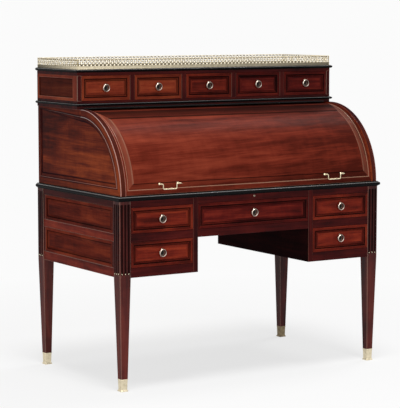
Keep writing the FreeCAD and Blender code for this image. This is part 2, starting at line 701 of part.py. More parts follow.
def upper_case():
    """The upper case: a floor with its moulding let in, sides, dividers, a top board, the cornice round
    the marble, and the rail behind it that carries the back of the gallery."""
    full = (f"-{UPPER_X}", UPPER_X)
    y = (UPPER_FRONT, BACK)
    core = (f"-({UPPER_X} - moulding_seat)", f"{UPPER_X} - moulding_seat")
    core_y = (f"{UPPER_FRONT} + moulding_seat", BACK)
    floor = [board("floor_frieze", full, y, (CHEEK_TOP, FRIEZE_TOP)),
             board("floor_core", core, core_y, (FRIEZE_TOP, FLOOR_MOULD_TOP)),
             board("floor_shelf", full, y, (FLOOR_MOULD_TOP, UPPER_FLOOR))]
    top = board("upper_top_board", full, y, (UPPER_OPEN_TOP, CORNICE))
    marble_back = f"({BACK} - gallery_rail)"
    rail = board("gallery_back_rail", core, (marble_back, BACK), (CORNICE, TOP))
    node("upper_boards", *floor, top, rail)

    open_z = (UPPER_FLOOR, UPPER_OPEN_TOP)
    slab = board("upper_side_slab", (f"-{UPPER_X}", f"-{UPPER_IN}"), y, open_z)
    field = side_recess("upper_side_field", (f"{UPPER_FRONT} + upper_panel_margin - frame_band",
                                             f"{BACK} - upper_panel_margin / 2 - frame_band"),
                        (f"{UPPER_FLOOR} + upper_panel_rise - frame_band",
                         f"{UPPER_OPEN_TOP} - upper_panel_rise + frame_band"), f"-{UPPER_X}")
    partitions = pair("upper_side", cut("upper_side_left", slab, field))
    for number in range(1, UPPER_DRAWERS):
        centre = f"(-{UPPER_IN} + {number} * {UPPER_PITCH} - upper_divider / 2)"
        partitions.append(board(f"upper_divider_{number}",
                                (f"{centre} - upper_divider / 2", f"{centre} + upper_divider / 2"),
                                (UPPER_FRONT, BACK_INNER), open_z))
    node("upper_partitions", *partitions)
    node("case_mouldings", *moulding("floor_mould", UPPER_X, UPPER_FRONT, FRIEZE_TOP, FLOOR_MOULD_TOP),
         *moulding("cornice", UPPER_X, UPPER_FRONT, CORNICE, TOP))
    node("marble_top", board("marble_slab", core, (core_y[0], marble_back), (CORNICE, TOP)))


def lozenge_strip(name, length, turn, x, y):
    """An upright sheet with two rows of lozenge piercings between its base and its rim."""
    length = value_of(length)
    low = size("gallery_base")
    high = size("gallery_height") - size("gallery_rim")
    rows = 2
    tall = (high - low) / rows
    half_wide = size("lozenge_width") / 2
    bar = (size("lozenge_pitch") - size("lozenge_width")) / 2
    count = int((length - 2 * bar) / size("lozenge_pitch"))
    start = (length - (count - 1) * size("lozenge_pitch")) / 2
    corners = ((0, 0), (length, 0), (length, size("gallery_height")), (0, size("gallery_height")))
    outline = Part.makePolygon([FreeCAD.Vector(u, 0, v) for u, v in corners + corners[:1]])
    holes = []
    for row in range(rows):
        middle = low + (row + 0.5) * tall
        half_tall = tall / 2 - bar / 2
        for number in range(count):
            u = start + number * size("lozenge_pitch")
            ends = ((u - half_wide, middle), (u, middle - half_tall),
                    (u + half_wide, middle), (u, middle + half_tall))
            holes.append(Part.makePolygon([FreeCAD.Vector(a, 0, b) for a, b in ends + ends[:1]]))
    pierced = Part.makeFace([outline] + holes, "Part::FaceMakerCheese")
    item = doc.addObject("Part::Feature", name)
    item.Shape = pierced.extrude(FreeCAD.Vector(0, size("gallery_sheet"), 0))
    item.Placement.Rotation = turn
    return place(item, x, y, TOP)


def gallery():
    """The pierced brass gallery along all four edges of the top."""
    out_x = f"({UPPER_X} - gallery_setback)"
    front_y = f"({UPPER_FRONT} + gallery_setback)"
    back_y = f"({BACK} - gallery_setback - gallery_sheet)"
    side_y = f"({front_y} + gallery_sheet)"
    long_strips = [lozenge_strip(name, f"2 * {out_x}", FreeCAD.Rotation(), f"-{out_x}", y)
                   for name, y in (("gallery_front", front_y), ("gallery_back", back_y))]
    left = lozenge_strip("gallery_left", f"{back_y} - {side_y}", FreeCAD.Rotation(Z_AXIS, 90),
                         f"-{out_x} + gallery_sheet", side_y)
    node("brass_gallery", *long_strips, *pair("gallery_left", left))


lower_case()
back_boards()
cheeks()
cylinder()
bails()
writing_slide()
upper_case()
gallery()

LOWER_BAYS = {
    "drawer_left_lower": ((f"-{POST_X}", f"-{WALL_OUT}"), LOWER_FLOOR),
    "drawer_left": ((f"-{POST_X}", f"-{WALL_OUT}"), ROW_FLOOR),
    "drawer_middle": ((f"-{WALL_IN}", WALL_IN), ROW_FLOOR),
    "drawer_right": ((WALL_OUT, POST_X), ROW_FLOOR),
    "drawer_right_lower": ((WALL_OUT, POST_X), LOWER_FLOOR),
}
for label, (bay_x, floor) in LOWER_BAYS.items():
    drawer(label, bay_x, floor, "drawer_height", FRONT, "lower_back_gap")
for number in range(UPPER_DRAWERS):
    start = f"(-{UPPER_IN} + {number} * {UPPER_PITCH})"
    drawer(f"upper_drawer_{number + 1}", (start, f"({start} + {UPPER_OPEN})"), UPPER_FLOOR,
           "upper_drawer_height", UPPER_FRONT, "upper_back_gap")

doc.recompute()
for item in doc.Objects:
    if {"Invalid", "Error"} & set(item.State):
        raise RuntimeError(f"{item.Name} failed: {item.State}")
for item in nodes:
    if item.Shape.isNull() or not item.Shape.isValid():
        raise RuntimeError(f"{item.Label} has no valid shape")

os.makedirs("parts", exist_ok=True)
for item in nodes:
    item.Shape.exportStep(f"parts/{item.Label}.step")
print(len(nodes), "nodes,", sum(len(item.Shape.Solids) for item in nodes), "solids")
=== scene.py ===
"""Looks of the cylinder desk: polished mahogany, ebonised mouldings, pale brass and a stone top, made round
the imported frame.  Metres, +Z up, front towards -Y.  New pieces are whole arrays of corners."""
import itertools
import json
import math

import bpy
import numpy as np
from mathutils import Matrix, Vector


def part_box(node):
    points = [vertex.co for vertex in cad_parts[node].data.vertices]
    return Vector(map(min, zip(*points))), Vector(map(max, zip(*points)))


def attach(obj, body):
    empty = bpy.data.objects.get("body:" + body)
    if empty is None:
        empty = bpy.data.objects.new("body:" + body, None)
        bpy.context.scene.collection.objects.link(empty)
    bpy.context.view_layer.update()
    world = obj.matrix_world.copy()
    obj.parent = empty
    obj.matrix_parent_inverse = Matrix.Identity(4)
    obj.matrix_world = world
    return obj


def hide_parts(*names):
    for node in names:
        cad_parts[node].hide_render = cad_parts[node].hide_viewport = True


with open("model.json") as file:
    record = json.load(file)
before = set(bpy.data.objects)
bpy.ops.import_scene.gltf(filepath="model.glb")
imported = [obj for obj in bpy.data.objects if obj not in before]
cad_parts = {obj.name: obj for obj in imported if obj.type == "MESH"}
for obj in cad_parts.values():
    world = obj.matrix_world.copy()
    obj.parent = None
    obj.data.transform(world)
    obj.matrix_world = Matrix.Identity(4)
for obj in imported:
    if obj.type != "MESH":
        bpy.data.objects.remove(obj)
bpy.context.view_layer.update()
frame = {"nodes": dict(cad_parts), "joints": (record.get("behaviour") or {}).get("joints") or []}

MM = 0.001
WELD = 1e-6
CREASE = math.radians(32)
X, Y, Z = range(3)
ALONG_X, TO_BACK, UP = np.eye(3)
TO_FRONT = -TO_BACK
BOTH_SIDES = (-1, 1)


def box(node):
    """The lowest and highest corners of a node as two rows."""
    return np.array([list(corner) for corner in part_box(node)])


# Places read from the frame
LEGS = box("front_legs")
HALF = LEGS[1, X]
FRONT = LEGS[0, Y]
POST = LEGS[1, Y] - FRONT
WAIST = LEGS[1, Z]
BACK = box("back_legs")[1, Y]
SIDES = box("lower_sides")
CASE_BOTTOM = SIDES[0, Z]
SABOT_TOP = box("leg_sabots")[1, Z]
CHEEK = box("cheek_right")
VENEER = box("cylinder_veneer")
UPPER = box("upper_partitions")
MARBLE = box("marble_top")
HINGE = next(joint for joint in frame["joints"] if joint["name"] == "cylinder_hinge")["pos_m"]
AXIS_Y, AXIS_Z = HINGE[Y], HINGE[Z]
CHEEK_RADIUS = AXIS_Y - CHEEK[0, Y]
FACE_RADIUS = AXIS_Y - VENEER[0, Y]

LOWER_DRAWERS = ("drawer_left_lower", "drawer_left", "drawer_middle", "drawer_right", "drawer_right_lower")
UPPER_DRAWERS = tuple(f"upper_drawer_{number}" for number in range(1, 6))

# Sizes that the frame's boxes don't give
LEG_FOOT = 15 * MM
ARRIS = 1.6 * MM
FLUTE_RADIUS = 4.5 * MM
FLUTE_MARGIN = 16 * MM
FLUTES = 15 * MM * np.array([-1, 0, 1])
DRAWER_GAP = 1 * MM
EYE_NOSE = 5 * MM
GRIP_HALF = 31.5 * MM
BAIL_FILLET = 5 * MM
BAND_SUNK = 1.6 * MM
FACE_SWEEP = math.radians(100)
FRIEZE_TOP = UPPER[0, Z] - 20 * MM
MOULD_TOP = UPPER[0, Z] - 10 * MM
HALF_SHEET = 1.25 * MM
LATTICE_PITCH = 18 * MM
LATTICE_BAR = 1.6 * MM

# Moulded profiles in millimetres: set in from the edge, height, and a mark: above 0 dark wax together
# # with painted shade in quirks and hollows, below 0 wear together with painted highlights on arrises
DRAWER_PROFILE = [
    (0, -20, 0.3), (0, -1.2, 0.8), (0.3, -0.4, 0.3), (0.9, 0, -0.1), (1.8, 0.05, 0.22),
    (6.5, 0.25, 0.22), (10.2, 0.05, 0.22), (10.9, 0, -0.2), (11.4, -0.5, 0.7), (12, -2.5, 1),
    (16.4, -2.7, 1), (17, -1.7, 0.6), (18, -1.4, 0.3), (19.2, -2, 0.5), (20.2, -4, 1),
    (22, -4, 0.7), (24.5, -4, 0.2), (31, -4, 0)]
SIDE_PROFILE = [
    (0, -20, 0.3), (0, -1.2, 0.6), (0.3, -0.4, 0.2), (0.9, 0, -0.2), (1.8, 0, 0), (11.4, 0, 0),
    (12.2, -0.3, 0.5), (12.8, -2.4, 1), (15.4, -2.6, 0.9), (16.4, -3.4, 0.2), (18, -4, 0.4),
    (26, -4, 0.1)]
UPPER_PANEL = [
    (0, -1.2, 0.4), (0.3, -0.4, 0), (0.9, 0, -0.2), (1.8, 0, 0.15), (11, 0, 0.15),
    (12, -0.1, -0.7), (12.8, -0.8, 0.4), (13.4, -4, 1), (16, -4, 0.9), (19, -4, 0.72)]
CHEEK_FRAME = [
    (24.6, 0, 0), (25.4, -0.7, 1), (27.8, -0.9, 1), (28.4, 0.3, -0.3), (30, 0.9, -1),
    (31.6, 0.3, -0.4), (32.4, -2, 0.9), (33.6, -2.5, 0.8), (35, -2.5, 0.25), (42.6, -2.6, 0.2),
    (44, -2.9, 0.7), (44.8, -5, 1), (47.8, -5, 0.9), (51, -5, 0)]
FACE_PROFILE = [
    (0, -2, 0), (0, -0.4, 0.2), (0.6, 0, -0.6), (2, 0, 0), (18.8, 0, 0), (19.6, 0, -0.6),
    (22.2, -0.5, -0.9), (22.8, -1.5, 0.5), (24, -1.6, 0.2), (42.4, -1.6, 0.2), (43.8, -1.6, 0.9),
    (45.2, -1.4, 1), (46, -0.4, 0.6), (47.2, 0, 0), (52, 0, 0)]
PLANK_ARRIS = 0.8

BOARD_STEP = np.array([1.93, 0.71, 0.37])
MEMBER_STEP = 0.31
lots = itertools.count(1)


def next_board():
    """A fresh place in the timber, so that no two boards show the same figure."""
    return next(lots) * BOARD_STEP


# Surfaces

def stacked(*parts):
    """Coordinates, spread to one shape, as one array of points."""
    return np.stack(np.broadcast_arrays(*parts), axis=-1)


def full_turn(steps):
    """Angles round a full turn, with the first one again at the end."""
    return np.linspace(0, 2 * np.pi, steps + 1)


def quarter_turn(steps):
    """Angles from nothing to a right angle."""
    return np.linspace(0, np.pi / 2, steps)


def corners(position, grain, wax=0.0):
    """Seven numbers at each corner: its place, its place in the board (along, across, through), its mark."""
    wax = np.broadcast_to(np.asarray(wax, float), position.shape[:-1])[..., None]
    return np.concatenate([position, np.broadcast_to(grain, position.shape), wax], axis=-1)


def quads(grid):
    """The four corners of every cell of a grid, or of each grid of a batch."""
    cell = (grid[..., :-1, :-1, :], grid[..., :-1, 1:, :], grid[..., 1:, 1:, :], grid[..., 1:, :-1, :])
    return np.stack(cell, axis=-2).reshape(-1, 4, grid.shape[-1])


def closed_rings(rings, capped=True):
    """Rings of corners joined one to the next, with flat faces on both ends if they are capped."""
    shell = quads(np.concatenate([rings, rings[:, :1]], axis=1))
    return [shell, rings[:1, ::-1], rings[-1:]] if capped else [shell]


def outward(skin):
    """The skin, with every face turned round if its faces enclose a negative volume."""
    volume = sum(np.sum(np.cross(faces[:, 1:-1, :3], faces[:, 2:, :3]) * faces[:, :1, :3]) for faces in skin)
    return skin if volume > 0 else [faces[:, ::-1] for faces in skin]


def without_repeats(ids, corner_data):
    """Faces as given where all corners differ; a quad with one side welded away becomes a triangle."""
    distinct = ids != np.roll(ids, -1, axis=1)
    sides = distinct.sum(axis=1)
    whole = sides == ids.shape[1]
    kept = [(ids[whole], corner_data[whole])]
    if ids.shape[1] == 4:
        for gone in range(4):
            rows = ~distinct[:, gone] & (sides == 3)
            kept.append([np.delete(part[rows], gone, axis=1) for part in (ids, corner_data)])
    return kept


def given(item, **values):
    """The item, with each named value set on it."""
    for name, value in values.items():
        setattr(item, name, value)
    return item


def in_scene(name, data, **values):
    """A new object that holds the data, with each named value set on it."""
    item = given(bpy.data.objects.new(name, data), **values)
    bpy.context.scene.collection.objects.link(item)
    return item


def make(name, dressed, replaced=(), body="carcase"):
    """One piece from {finish: skins}.  The corners of a skin that coincide are welded, and what each corner
    knows of its board goes along as attributes."""
    mesh = bpy.data.meshes.new(name)
    points, faces, data, tints = [], [], [], []
    count = 0
    for tint, (finish, skins) in enumerate(dressed.items()):
        mesh.materials.append(finish)
        for skin in map(outward, skins):
            flat = np.concatenate([group.reshape(-1, 7) for group in skin])
            keys = np.round(flat[:, :3] / WELD).astype(np.int64)
            _, first, where = np.unique(keys, axis=0, return_index=True, return_inverse=True)
            points.append(flat[first, :3])
            cuts = np.cumsum([len(group) * group.shape[1] for group in skin])[:-1]
            for group, ids in zip(skin, np.split(where.ravel(), cuts)):
                for kept, known in without_repeats(ids.reshape(group.shape[:2]), group[..., 3:]):
                    faces += (kept + count).tolist()
                    data.append(known.reshape(-1, 4))
                    tints.append(np.full(len(kept), tint))
            count += len(first)
    mesh.from_pydata(np.concatenate(points).tolist(), [], faces)
    data = np.concatenate(data).astype(np.float32)
    layers = {"grain": ("FLOAT_VECTOR", "vector", data[:, :3]), "wax": ("FLOAT", "value", data[:, 3])}
    for label, (kind, key, values) in layers.items():
        mesh.attributes.new(label, kind, "CORNER").data.foreach_set(key, values.ravel())
    mesh.polygons.foreach_set("material_index", np.concatenate(tints).astype(np.int32))
    mesh.shade_smooth()
    mesh.set_sharp_from_angle(angle=CREASE)
    mesh.update()
    item = in_scene(name, mesh)
    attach(item, body)
    if replaced:
        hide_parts(*replaced)


# Ways to lay a flat shape (u, v, height) on the desk

def on_front(y):
    """u along X, v upwards, height towards the sitter."""
    return lambda u, v, h: stacked(u, y - h, v)


def on_side(x, sign):
    """u along Y, v upwards, height outwards from the left (-1) or right (1) side."""
    return lambda u, v, h: stacked(sign * (x + h), u, v)


def round_axis(radius):
    """u along X, v as length of arc up from the front, height outwards from the cylinder's axis."""
    return lambda u, v, h: stacked(u, AXIS_Y - (radius + h) * np.cos(v / radius),
                                   AXIS_Z + (radius + h) * np.sin(v / radius))


def in_axes(axes, level):
    """u, v and height along three axes given by number, the height counted from a level."""
    return lambda u, v, h: stacked(u, v, h + level)[..., np.argsort(axes)]


# Shapes

def moulded_board(u, v, profile, place, mitred=True, cuts=(1, 1), slim=0, crown=1, side_wax=None):
    """Rectangles set in by each inset and raised by each height of the profile, joined ring to ring, with a
    flat field and back.  The grain of a mitred frame follows its sides.  slim narrows its left and right,
    crown widens its top, and a mark may be given apart for each of the foot, right, top and left."""
    inset, height, wax = np.array(profile, float).T[..., None]
    inset, height = inset * MM, height * MM
    narrow = np.maximum(inset - slim * MM, 0)
    board = next_board()
    across, upwards = [np.linspace(0, 1, count + 1) for count in cuts]
    left, right, low, high = u[0] + narrow, u[1] - narrow, v[0] + inset, v[1] - crown * inset

    def dressed(a, b, h, mark_here, member=0, standing=False):
        along = (b, a) if standing and mitred else (a, b)
        return corners(place(a, b, h), stacked(*along, h) + board + MEMBER_STEP * member, mark_here)

    outline = ((left, low), (right, low), (right, high), (left, high), (left, low))
    member_marks = [wax] * 4 if side_wax is None else np.reshape(side_wax, (4, -1, 1))
    skin = []
    for member, (start, end, held) in enumerate(zip(outline, outline[1:], member_marks), start=1):
        standing = member % 2 == 0
        a, b = straight(start, end, upwards if standing else across)
        skin.append(quads(dressed(a, b, height, held, member, standing)))
    for row in (0, -1):
        a, b = np.meshgrid(left[row] + (right - left)[row] * across, low[row] + (high - low)[row] * upwards)
        face = quads(dressed(a, b, height[row], wax[row]))
        skin.append(face if row else face[:, ::-1])
    return skin


def finer(profile, step):
    """The profile with rows added, so that no two insets are over a step apart."""
    rows = np.array(profile, float)
    counts = np.maximum(np.ceil(np.abs(np.diff(rows[:, 0])) / step), 1).astype(int)
    runs = [np.linspace(*ends, count, endpoint=False) for *ends, count in zip(rows, rows[1:], counts)]
    return np.concatenate(runs + [rows[-1:]])


def plank(x, y, z, grain_axis, worn=0.4):
    """A plain board in three ranges, its grain along one axis, its arrises taken off, with wear and
    painted highlights.
    """
    spans = (x, y, z)
    size = np.ptp(spans, axis=1)
    thin = min({X, Y, Z} - {grain_axis}, key=size.item)
    wide = X + Y + Z - grain_axis - thin
    cut = PLANK_ARRIS
    edge = [(2 * cut, 0, 0), (cut, 0, -worn), (0, -cut, -worn), (0, -2 * cut, 0)]
    profile = [(inset, -size[thin] / MM - height, wax) for inset, height, wax in edge] + edge[::-1]
    place = in_axes((grain_axis, wide, thin), spans[thin][1])
    return moulded_board(spans[grain_axis], spans[wide], profile, place, mitred=False)


def side_plank(sign, x, *rest, **wear):
    """A plank on the left (-1) or right (1) side, its first range counted from the middle."""
    return plank(sorted(sign * edge for edge in x), *rest, **wear)


def lathe(profile, centre, axis, turns=24, wax=0.0):
    """Each (radius, distance along the axis) of the profile, in millimetres, turned about the axis.  The mark
    may go by row of the profile, or by row and turn."""
    radius, along = np.array(profile, float).T[..., None, None] * MM
    side = UP if axis[X] else ALONG_X
    angle = full_turn(turns)[:, None]
    spokes = np.cos(angle) * side + np.sin(angle) * np.cross(axis, side)
    grid = np.asarray(centre) + along * axis + radius * spokes
    wax = np.asarray(wax, float)
    return [quads(corners(grid, grid, wax if wax.ndim > 1 else wax.reshape(-1, 1)))]


def ring_section(major, minor, steps=14):
    """A circle of the minor radius at the major radius, as a closed profile for the lathe."""
    angle = full_turn(steps)
    return stacked(major + minor * np.cos(angle), minor * np.sin(angle))


def wire(path, radius, flat, sides=14):
    """A round wire along a path in a plane: rings of the given radii, spread along the path's normal and
    the plane's.  A radius of zero closes an end."""
    forward = np.gradient(path, axis=0)
    forward /= np.linalg.norm(forward, axis=1, keepdims=True)
    normal = np.cross(flat, forward)
    angle = full_turn(sides)[:, None]
    grid = path[:, None] + radius[:, None, None] * (np.cos(angle) * normal[:, None] + np.sin(angle) * flat)
    return [quads(corners(grid, grid))]


def rounded_path(points, fillet, steps=7):
    """Straight runs with each square corner replaced by a quarter circle that touches both of its runs."""
    turn = quarter_turn(steps)[:, None]
    stretches = [points[:1]]
    for before, corner, after in zip(points, points[1:], points[2:]):
        back, on = [(end - corner) / np.linalg.norm(end - corner) for end in (before, after)]
        stretches.append(corner + fillet * (back + on - np.cos(turn) * on - np.sin(turn) * back))
    return np.concatenate(stretches + [points[-1:]])


def straight(start, end, share):
    """Both coordinates of the points at each share of the way from the start to the end."""
    return [first + (last - first) * share for first, last in zip(start, end)]


def travelled(points):
    """The way along a line of points, from its first one to each."""
    return np.concatenate([[0], np.cumsum(np.linalg.norm(np.diff(points, axis=0), axis=1))])


def mitred_run(profile, base, lean, wax=0.0):
    """A closed profile of (out, up), in millimetres, carried along the path's corners; each corner leans so
    that the runs beside it meet in a mitre.  Ends are closed flat, unless the path ends where it began."""
    section = np.array(profile, float) * MM
    out, up = section.T[..., None]
    base, lean = np.asarray(base, float), np.asarray(lean, float)
    grid = base[:, None] + out * lean[:, None] + up * UP
    grain = stacked(travelled(base)[:, None], travelled(section), 0.0) + next_board()
    return closed_rings(corners(grid, grain, wax), capped=not np.array_equal(base[0], base[-1]))


def bead(radius, fillet, x, y, low, high):
    """A moulding along the left side, front and right side: a half-round between two small fillets, in
    millimetres, with a painted highlight over a band of angles near the top."""
    seat, proud, end, highlight_angle, highlight_fade, full_highlight = 6, 9, 84, 58, 16, 1.4
    height = (high - low) / MM
    degrees = np.linspace(-end, end, 16)
    turn = np.radians(degrees)
    nose = stacked(proud - radius + radius * np.cos(turn), height / 2 + radius * np.sin(turn))
    shoulder = proud - radius + fillet
    profile = np.concatenate([[(-seat, 0), (shoulder, 0)], nose, [(shoulder, height), (-seat, height)]])
    worn = np.clip(full_highlight - np.abs(degrees - highlight_angle) / highlight_fade, 0, 1)
    base = [(-x, BACK, low), (-x, y, low), (x, y, low), (x, BACK, low)]
    lean = [(-1, 0, 0), (-1, -1, 0), (1, -1, 0), (1, 0, 0)]
    return mitred_run(profile, base, lean, np.concatenate([[0, 0], -worn, [0, 0]]))


def post_rows(levels=9, steps=6):
    """Levels of a leg from its foot to the waist: height, half width, flute half width and flute depth.  At
    a flute's ends its width and depth follow a quarter circle down to nothing."""
    taper = np.linspace(0, 1, levels)
    height = SABOT_TOP + (CASE_BOTTOM - SABOT_TOP) * taper
    half = LEG_FOOT + (POST / 2 - LEG_FOOT) * taper
    rise, reach = [FLUTE_RADIUS * wave(quarter_turn(steps)) for wave in (np.cos, np.sin)]
    full = np.full(steps, POST / 2)
    rows = [np.stack([height, half, FLUTE_RADIUS * half * 2 / POST, 0 * taper]),
            np.stack([CASE_BOTTOM + FLUTE_MARGIN - rise, full, reach, reach]),
            np.stack([WAIST - FLUTE_MARGIN + rise, full, reach, reach])[:, ::-1],
            np.array([[WAIST], [POST / 2], [FLUTE_RADIUS], [0]])]
    return np.concatenate(rows, axis=1)[..., None]


def leg(middle, fluted, flute_steps=9, arris_steps=5):
    """A square post with rounded arrises that tapers below the case.  A column of corners on a fluted side
    swings by the cosine and dips by the sine of its angle in the flute."""
    # The flutes and fluted faces hold painted shade, deepest in the hollows; flute edges and arrises carry
    # wear and painted highlights.
    deep_flute_shade, fluted_face_shade, edge_wear_highlight, arris_wear_highlight = 1.4, 0.3, 0.2, 0.7
    z, half, width, depth = post_rows()
    angle = np.linspace(np.pi, 0, flute_steps)
    edge = POST / 2 - ARRIS
    at = np.concatenate([[-edge], np.repeat(FLUTES, flute_steps), [edge]])
    swing, dip = [np.concatenate([[0], np.tile(wave(angle), len(FLUTES)), [0]]) for wave in (np.cos, np.sin)]
    scale = half * 2 / POST
    turn = quarter_turn(arris_steps)[1:-1, None]
    columns, wax = [], []
    for side, face in enumerate((ALONG_X, TO_BACK, -ALONG_X, TO_FRONT)):
        along = np.cross(UP, face)
        cut = depth * (side in fluted)
        sunk = cut * dip
        shade = np.clip(deep_flute_shade * sunk + fluted_face_shade * cut, 0, FLUTE_RADIUS) / FLUTE_RADIUS
        columns.append((half - sunk)[..., None] * face + (at * scale + width * swing)[..., None] * along)
        wax.append(shade - edge_wear_highlight * (np.abs(at) == edge))
        corner = (half - ARRIS) * (face + along)
        columns.append(corner[:, None] + ARRIS * (np.cos(turn) * face + np.sin(turn) * along))
        wax.append(np.full((len(z), len(turn)), -arris_wear_highlight))
    ring = np.concatenate(columns, axis=1) + np.append(middle, 0.0)
    ring[..., Z] = z
    return closed_rings(corners(ring, ring[..., [Z, X, Y]] + next_board(), np.concatenate(wax, axis=1)))


def rounded_squares(middle, profile, steps=5):
    """Squares with round corners, one above the other: (height, half width, corner radius) in millimetres."""
    z, half, radius = np.array(profile, float).T[..., None] * MM
    turn = quarter_turn(steps) + np.pi / 2 * np.arange(4)[:, None]
    diagonal = turn.mean(axis=1, keepdims=True) + 0 * turn
    x, y = [(half - radius) * np.sign(wave(diagonal)).ravel() + radius * wave(turn).ravel()
            for wave in (np.cos, np.sin)]
    ring = stacked(x, y, z) + np.append(middle, 0.0)
    return closed_rings(corners(ring, ring))


def quarter_board(profile, sign, steps=40):
    """A cheek's outline, set in by each inset and raised by each height of the profile.  It runs along the
    foot, up the back, along the top and down the arc, which has insets of its own.  The frame is slimmer
    at the back and top, and its wear and painted highlights are full only on its arc."""
    back_slim, top_slim, off_arc_highlight_share = 0.6, 0.3, 0.25
    grain_runs = (0.6, 0.4, 0.4, 0.5)
    arc_inset, inset, height, wax = np.array(profile, float).T[..., None]
    arc_inset, inset, height = arc_inset * MM, inset * MM, height * MM
    board = next_board()
    share = np.linspace(0, 1, steps + 1)
    radius = CHEEK_RADIUS - arc_inset
    foot, back, top = CHEEK[0, Z] + inset, CHEEK[1, Y] - back_slim * inset, CHEEK[1, Z] - top_slim * inset
    start = np.arcsin((foot - AXIS_Z) / radius)
    outline = ((AXIS_Y - radius * np.cos(start), foot), (back, foot), (back, top), (AXIS_Y, AXIS_Z + radius))
    sides = [straight(*ends, share) for ends in zip(outline, outline[1:])]
    turn = np.pi / 2 + (start - np.pi / 2) * share
    sides.append((AXIS_Y - radius * np.cos(turn), AXIS_Z + radius * np.sin(turn)))
    place = on_side(CHEEK[1, X], sign)
    skin = []
    for member, ((y, z), run) in enumerate(zip(sides, grain_runs), start=1):
        grain = stacked(share * run, inset, height) + board + MEMBER_STEP * member
        painted_light_marks = wax if member == len(sides) else np.where(wax < 0, off_arc_highlight_share * wax, wax)
        skin.append(quads(corners(place(y, z, height), grain, painted_light_marks)))
    for row in (0, -1):
        y, z = [np.concatenate([part[row, :-1] for part in parts]) for parts in zip(*sides)]
        field = corners(place(y, z, height[row]), stacked(y, z, 0.0) + board, wax[row])[None]
        skin.append(field if row else field[:, ::-1])
    return skin


def trellis(start, length, low, high, place):
    """Slanting six-sided bars that cross every half pitch, cut off at both ends of the strip, and a stud on
    each crossing: a circle that swells from nothing and shrinks again."""
    least, stud_width, stud_depth = 0.01, 2.6, 1.4
    count = round(length / LATTICE_PITCH)
    pitch = length / count
    reach = 2 * pitch
    foot = np.arange(-2, count + 3) * pitch
    rise = high - low
    part = np.clip(stacked(-foot, length - foot) / reach, 0, 1)
    leaning = stacked(foot[:, None] + reach * part, low + rise * part)[np.ptp(part, axis=1) > least]
    mirrored = leaning[::-1] * (-1, 1) + (length, 0)
    first, last = np.concatenate([leaning, mirrored]).transpose(1, 0, 2)
    forward = (last - first) / np.linalg.norm(last - first, axis=1, keepdims=True)
    sideways = stacked(-forward[:, 1], forward[:, 0])
    angle = full_turn(6)
    spread = LATTICE_BAR * np.cos(angle)[None, :, None] * sideways[:, None]
    plane = np.stack([first[:, None] + spread, last[:, None] + spread], axis=1)
    bars = place(start + plane[..., 0], plane[..., 1], LATTICE_BAR * np.sin(angle))
    faced = corners(bars, bars)
    skin = [quads(faced), faced[:, 0, :-1][:, ::-1], faced[:, 1, :-1]]

    level, number = np.meshgrid(np.arange(1, 4), np.arange(count))
    middle = (number + np.where(level % 2, 0.5, 0.0)).ravel() * pitch
    inside = (middle > LATTICE_BAR) & (middle < length - LATTICE_BAR)
    along, up = np.stack([middle, (low + rise * level / 4).ravel()])[:, inside, None, None]
    swell = stud_width * LATTICE_BAR * np.array([0, 0.8, 1, 0.8, 0])[:, None]
    depth = stud_depth * LATTICE_BAR * np.array([-1, -0.7, 0, 0.7, 1])[:, None]
    turn = full_turn(8)
    stud = place(start + (along + swell * np.cos(turn)), up + swell * np.sin(turn), depth)
    return skin, [quads(corners(stud, stud))]


# Shader arithmetic

class Wire:
    """A shader socket that takes part in sums: each operation adds a Math node."""

    def __init__(self, finish, socket):
        self.finish, self.socket = finish, socket

    def __add__(self, other):
        return self.finish.math("ADD", self, other)

    def __sub__(self, other):
        return self.finish.math("SUBTRACT", self, other)

    def __rsub__(self, other):
        return self.finish.math("SUBTRACT", other, self)

    def __mul__(self, other):
        return self.finish.math("MULTIPLY", self, other)

    __radd__ = __add__
    __rmul__ = __mul__


class Finish:
    """A material or world under construction, with the place of a point in its object."""

    def __init__(self, name, kind="materials"):
        self.owner = getattr(bpy.data, kind).new(name)
        self.owner.use_nodes = True
        self.tree = self.owner.node_tree
        self.tree.nodes.clear()
        self.place = self.node("TexCoord", {}, "Object")

    def node(self, kind, values, output=0, **settings):
        """A shader node with its settings, and with values or links at its sockets."""
        made = given(self.tree.nodes.new("ShaderNode" + kind), **settings)
        for key, value in values.items():
            if isinstance(value, Wire):
                self.tree.links.new(value.socket, made.inputs[key])
            else:
                made.inputs[key].default_value = value
        return Wire(self, made.outputs[output]) if made.outputs else None

    def math(self, operation, first, second=0.0):
        return self.node("Math", {0: first, 1: second}, operation=operation)

    def vector(self, operation, first, second=(0.0, 0.0, 0.0), output="Vector"):
        return self.node("VectorMath", {0: first, 1: second}, output, operation=operation)

    def attribute(self, name, output):
        return self.node("Attribute", {}, output, attribute_name=name)

    def noise(self, place, scale, detail, roughness, distortion=0.0):
        """Smooth noise whose lumps are one over the scale long, each way or every way."""
        stretched = self.vector("MULTIPLY", place, scale if isinstance(scale, tuple) else (scale,) * 3)
        values = {"Scale": 1.0, "Detail": detail, "Roughness": roughness, "Distortion": distortion}
        return self.node("TexNoise", {"Vector": stretched, **values})

    def span(self, value, low=0.0, high=1.0):
        """0 below low, 1 above high, and straight between."""
        return self.node("MapRange", {0: value, 1: low, 2: high, 3: 0.0, 4: 1.0}, clamp=True)

    def mix(self, share, first, second):
        return self.node("Mix", {0: share, 6: first, 7: second}, 2, data_type="RGBA")

    def ramp(self, value, *stops):
        """Colours at places from 0 to 1, the lowest and the highest given first, and straight between."""
        ramp = self.node("ValToRGB", {0: value})
        elements = ramp.socket.node.color_ramp.elements
        for number, (place, colour) in enumerate(stops):
            given(elements[number] if number < 2 else elements.new(place), position=place, color=colour)
        return ramp

    def bump(self, height, distance, strength):
        return self.node("Bump", {"Height": height, "Distance": distance, "Strength": strength})

    def surface(self, **values):
        """The finished surface; the name of a principled socket has _ for each space."""
        shader = self.node("BsdfPrincipled", {key.replace("_", " "): value for key, value in values.items()})
        self.node("OutputMaterial", {"Surface": shader})
        return self.owner


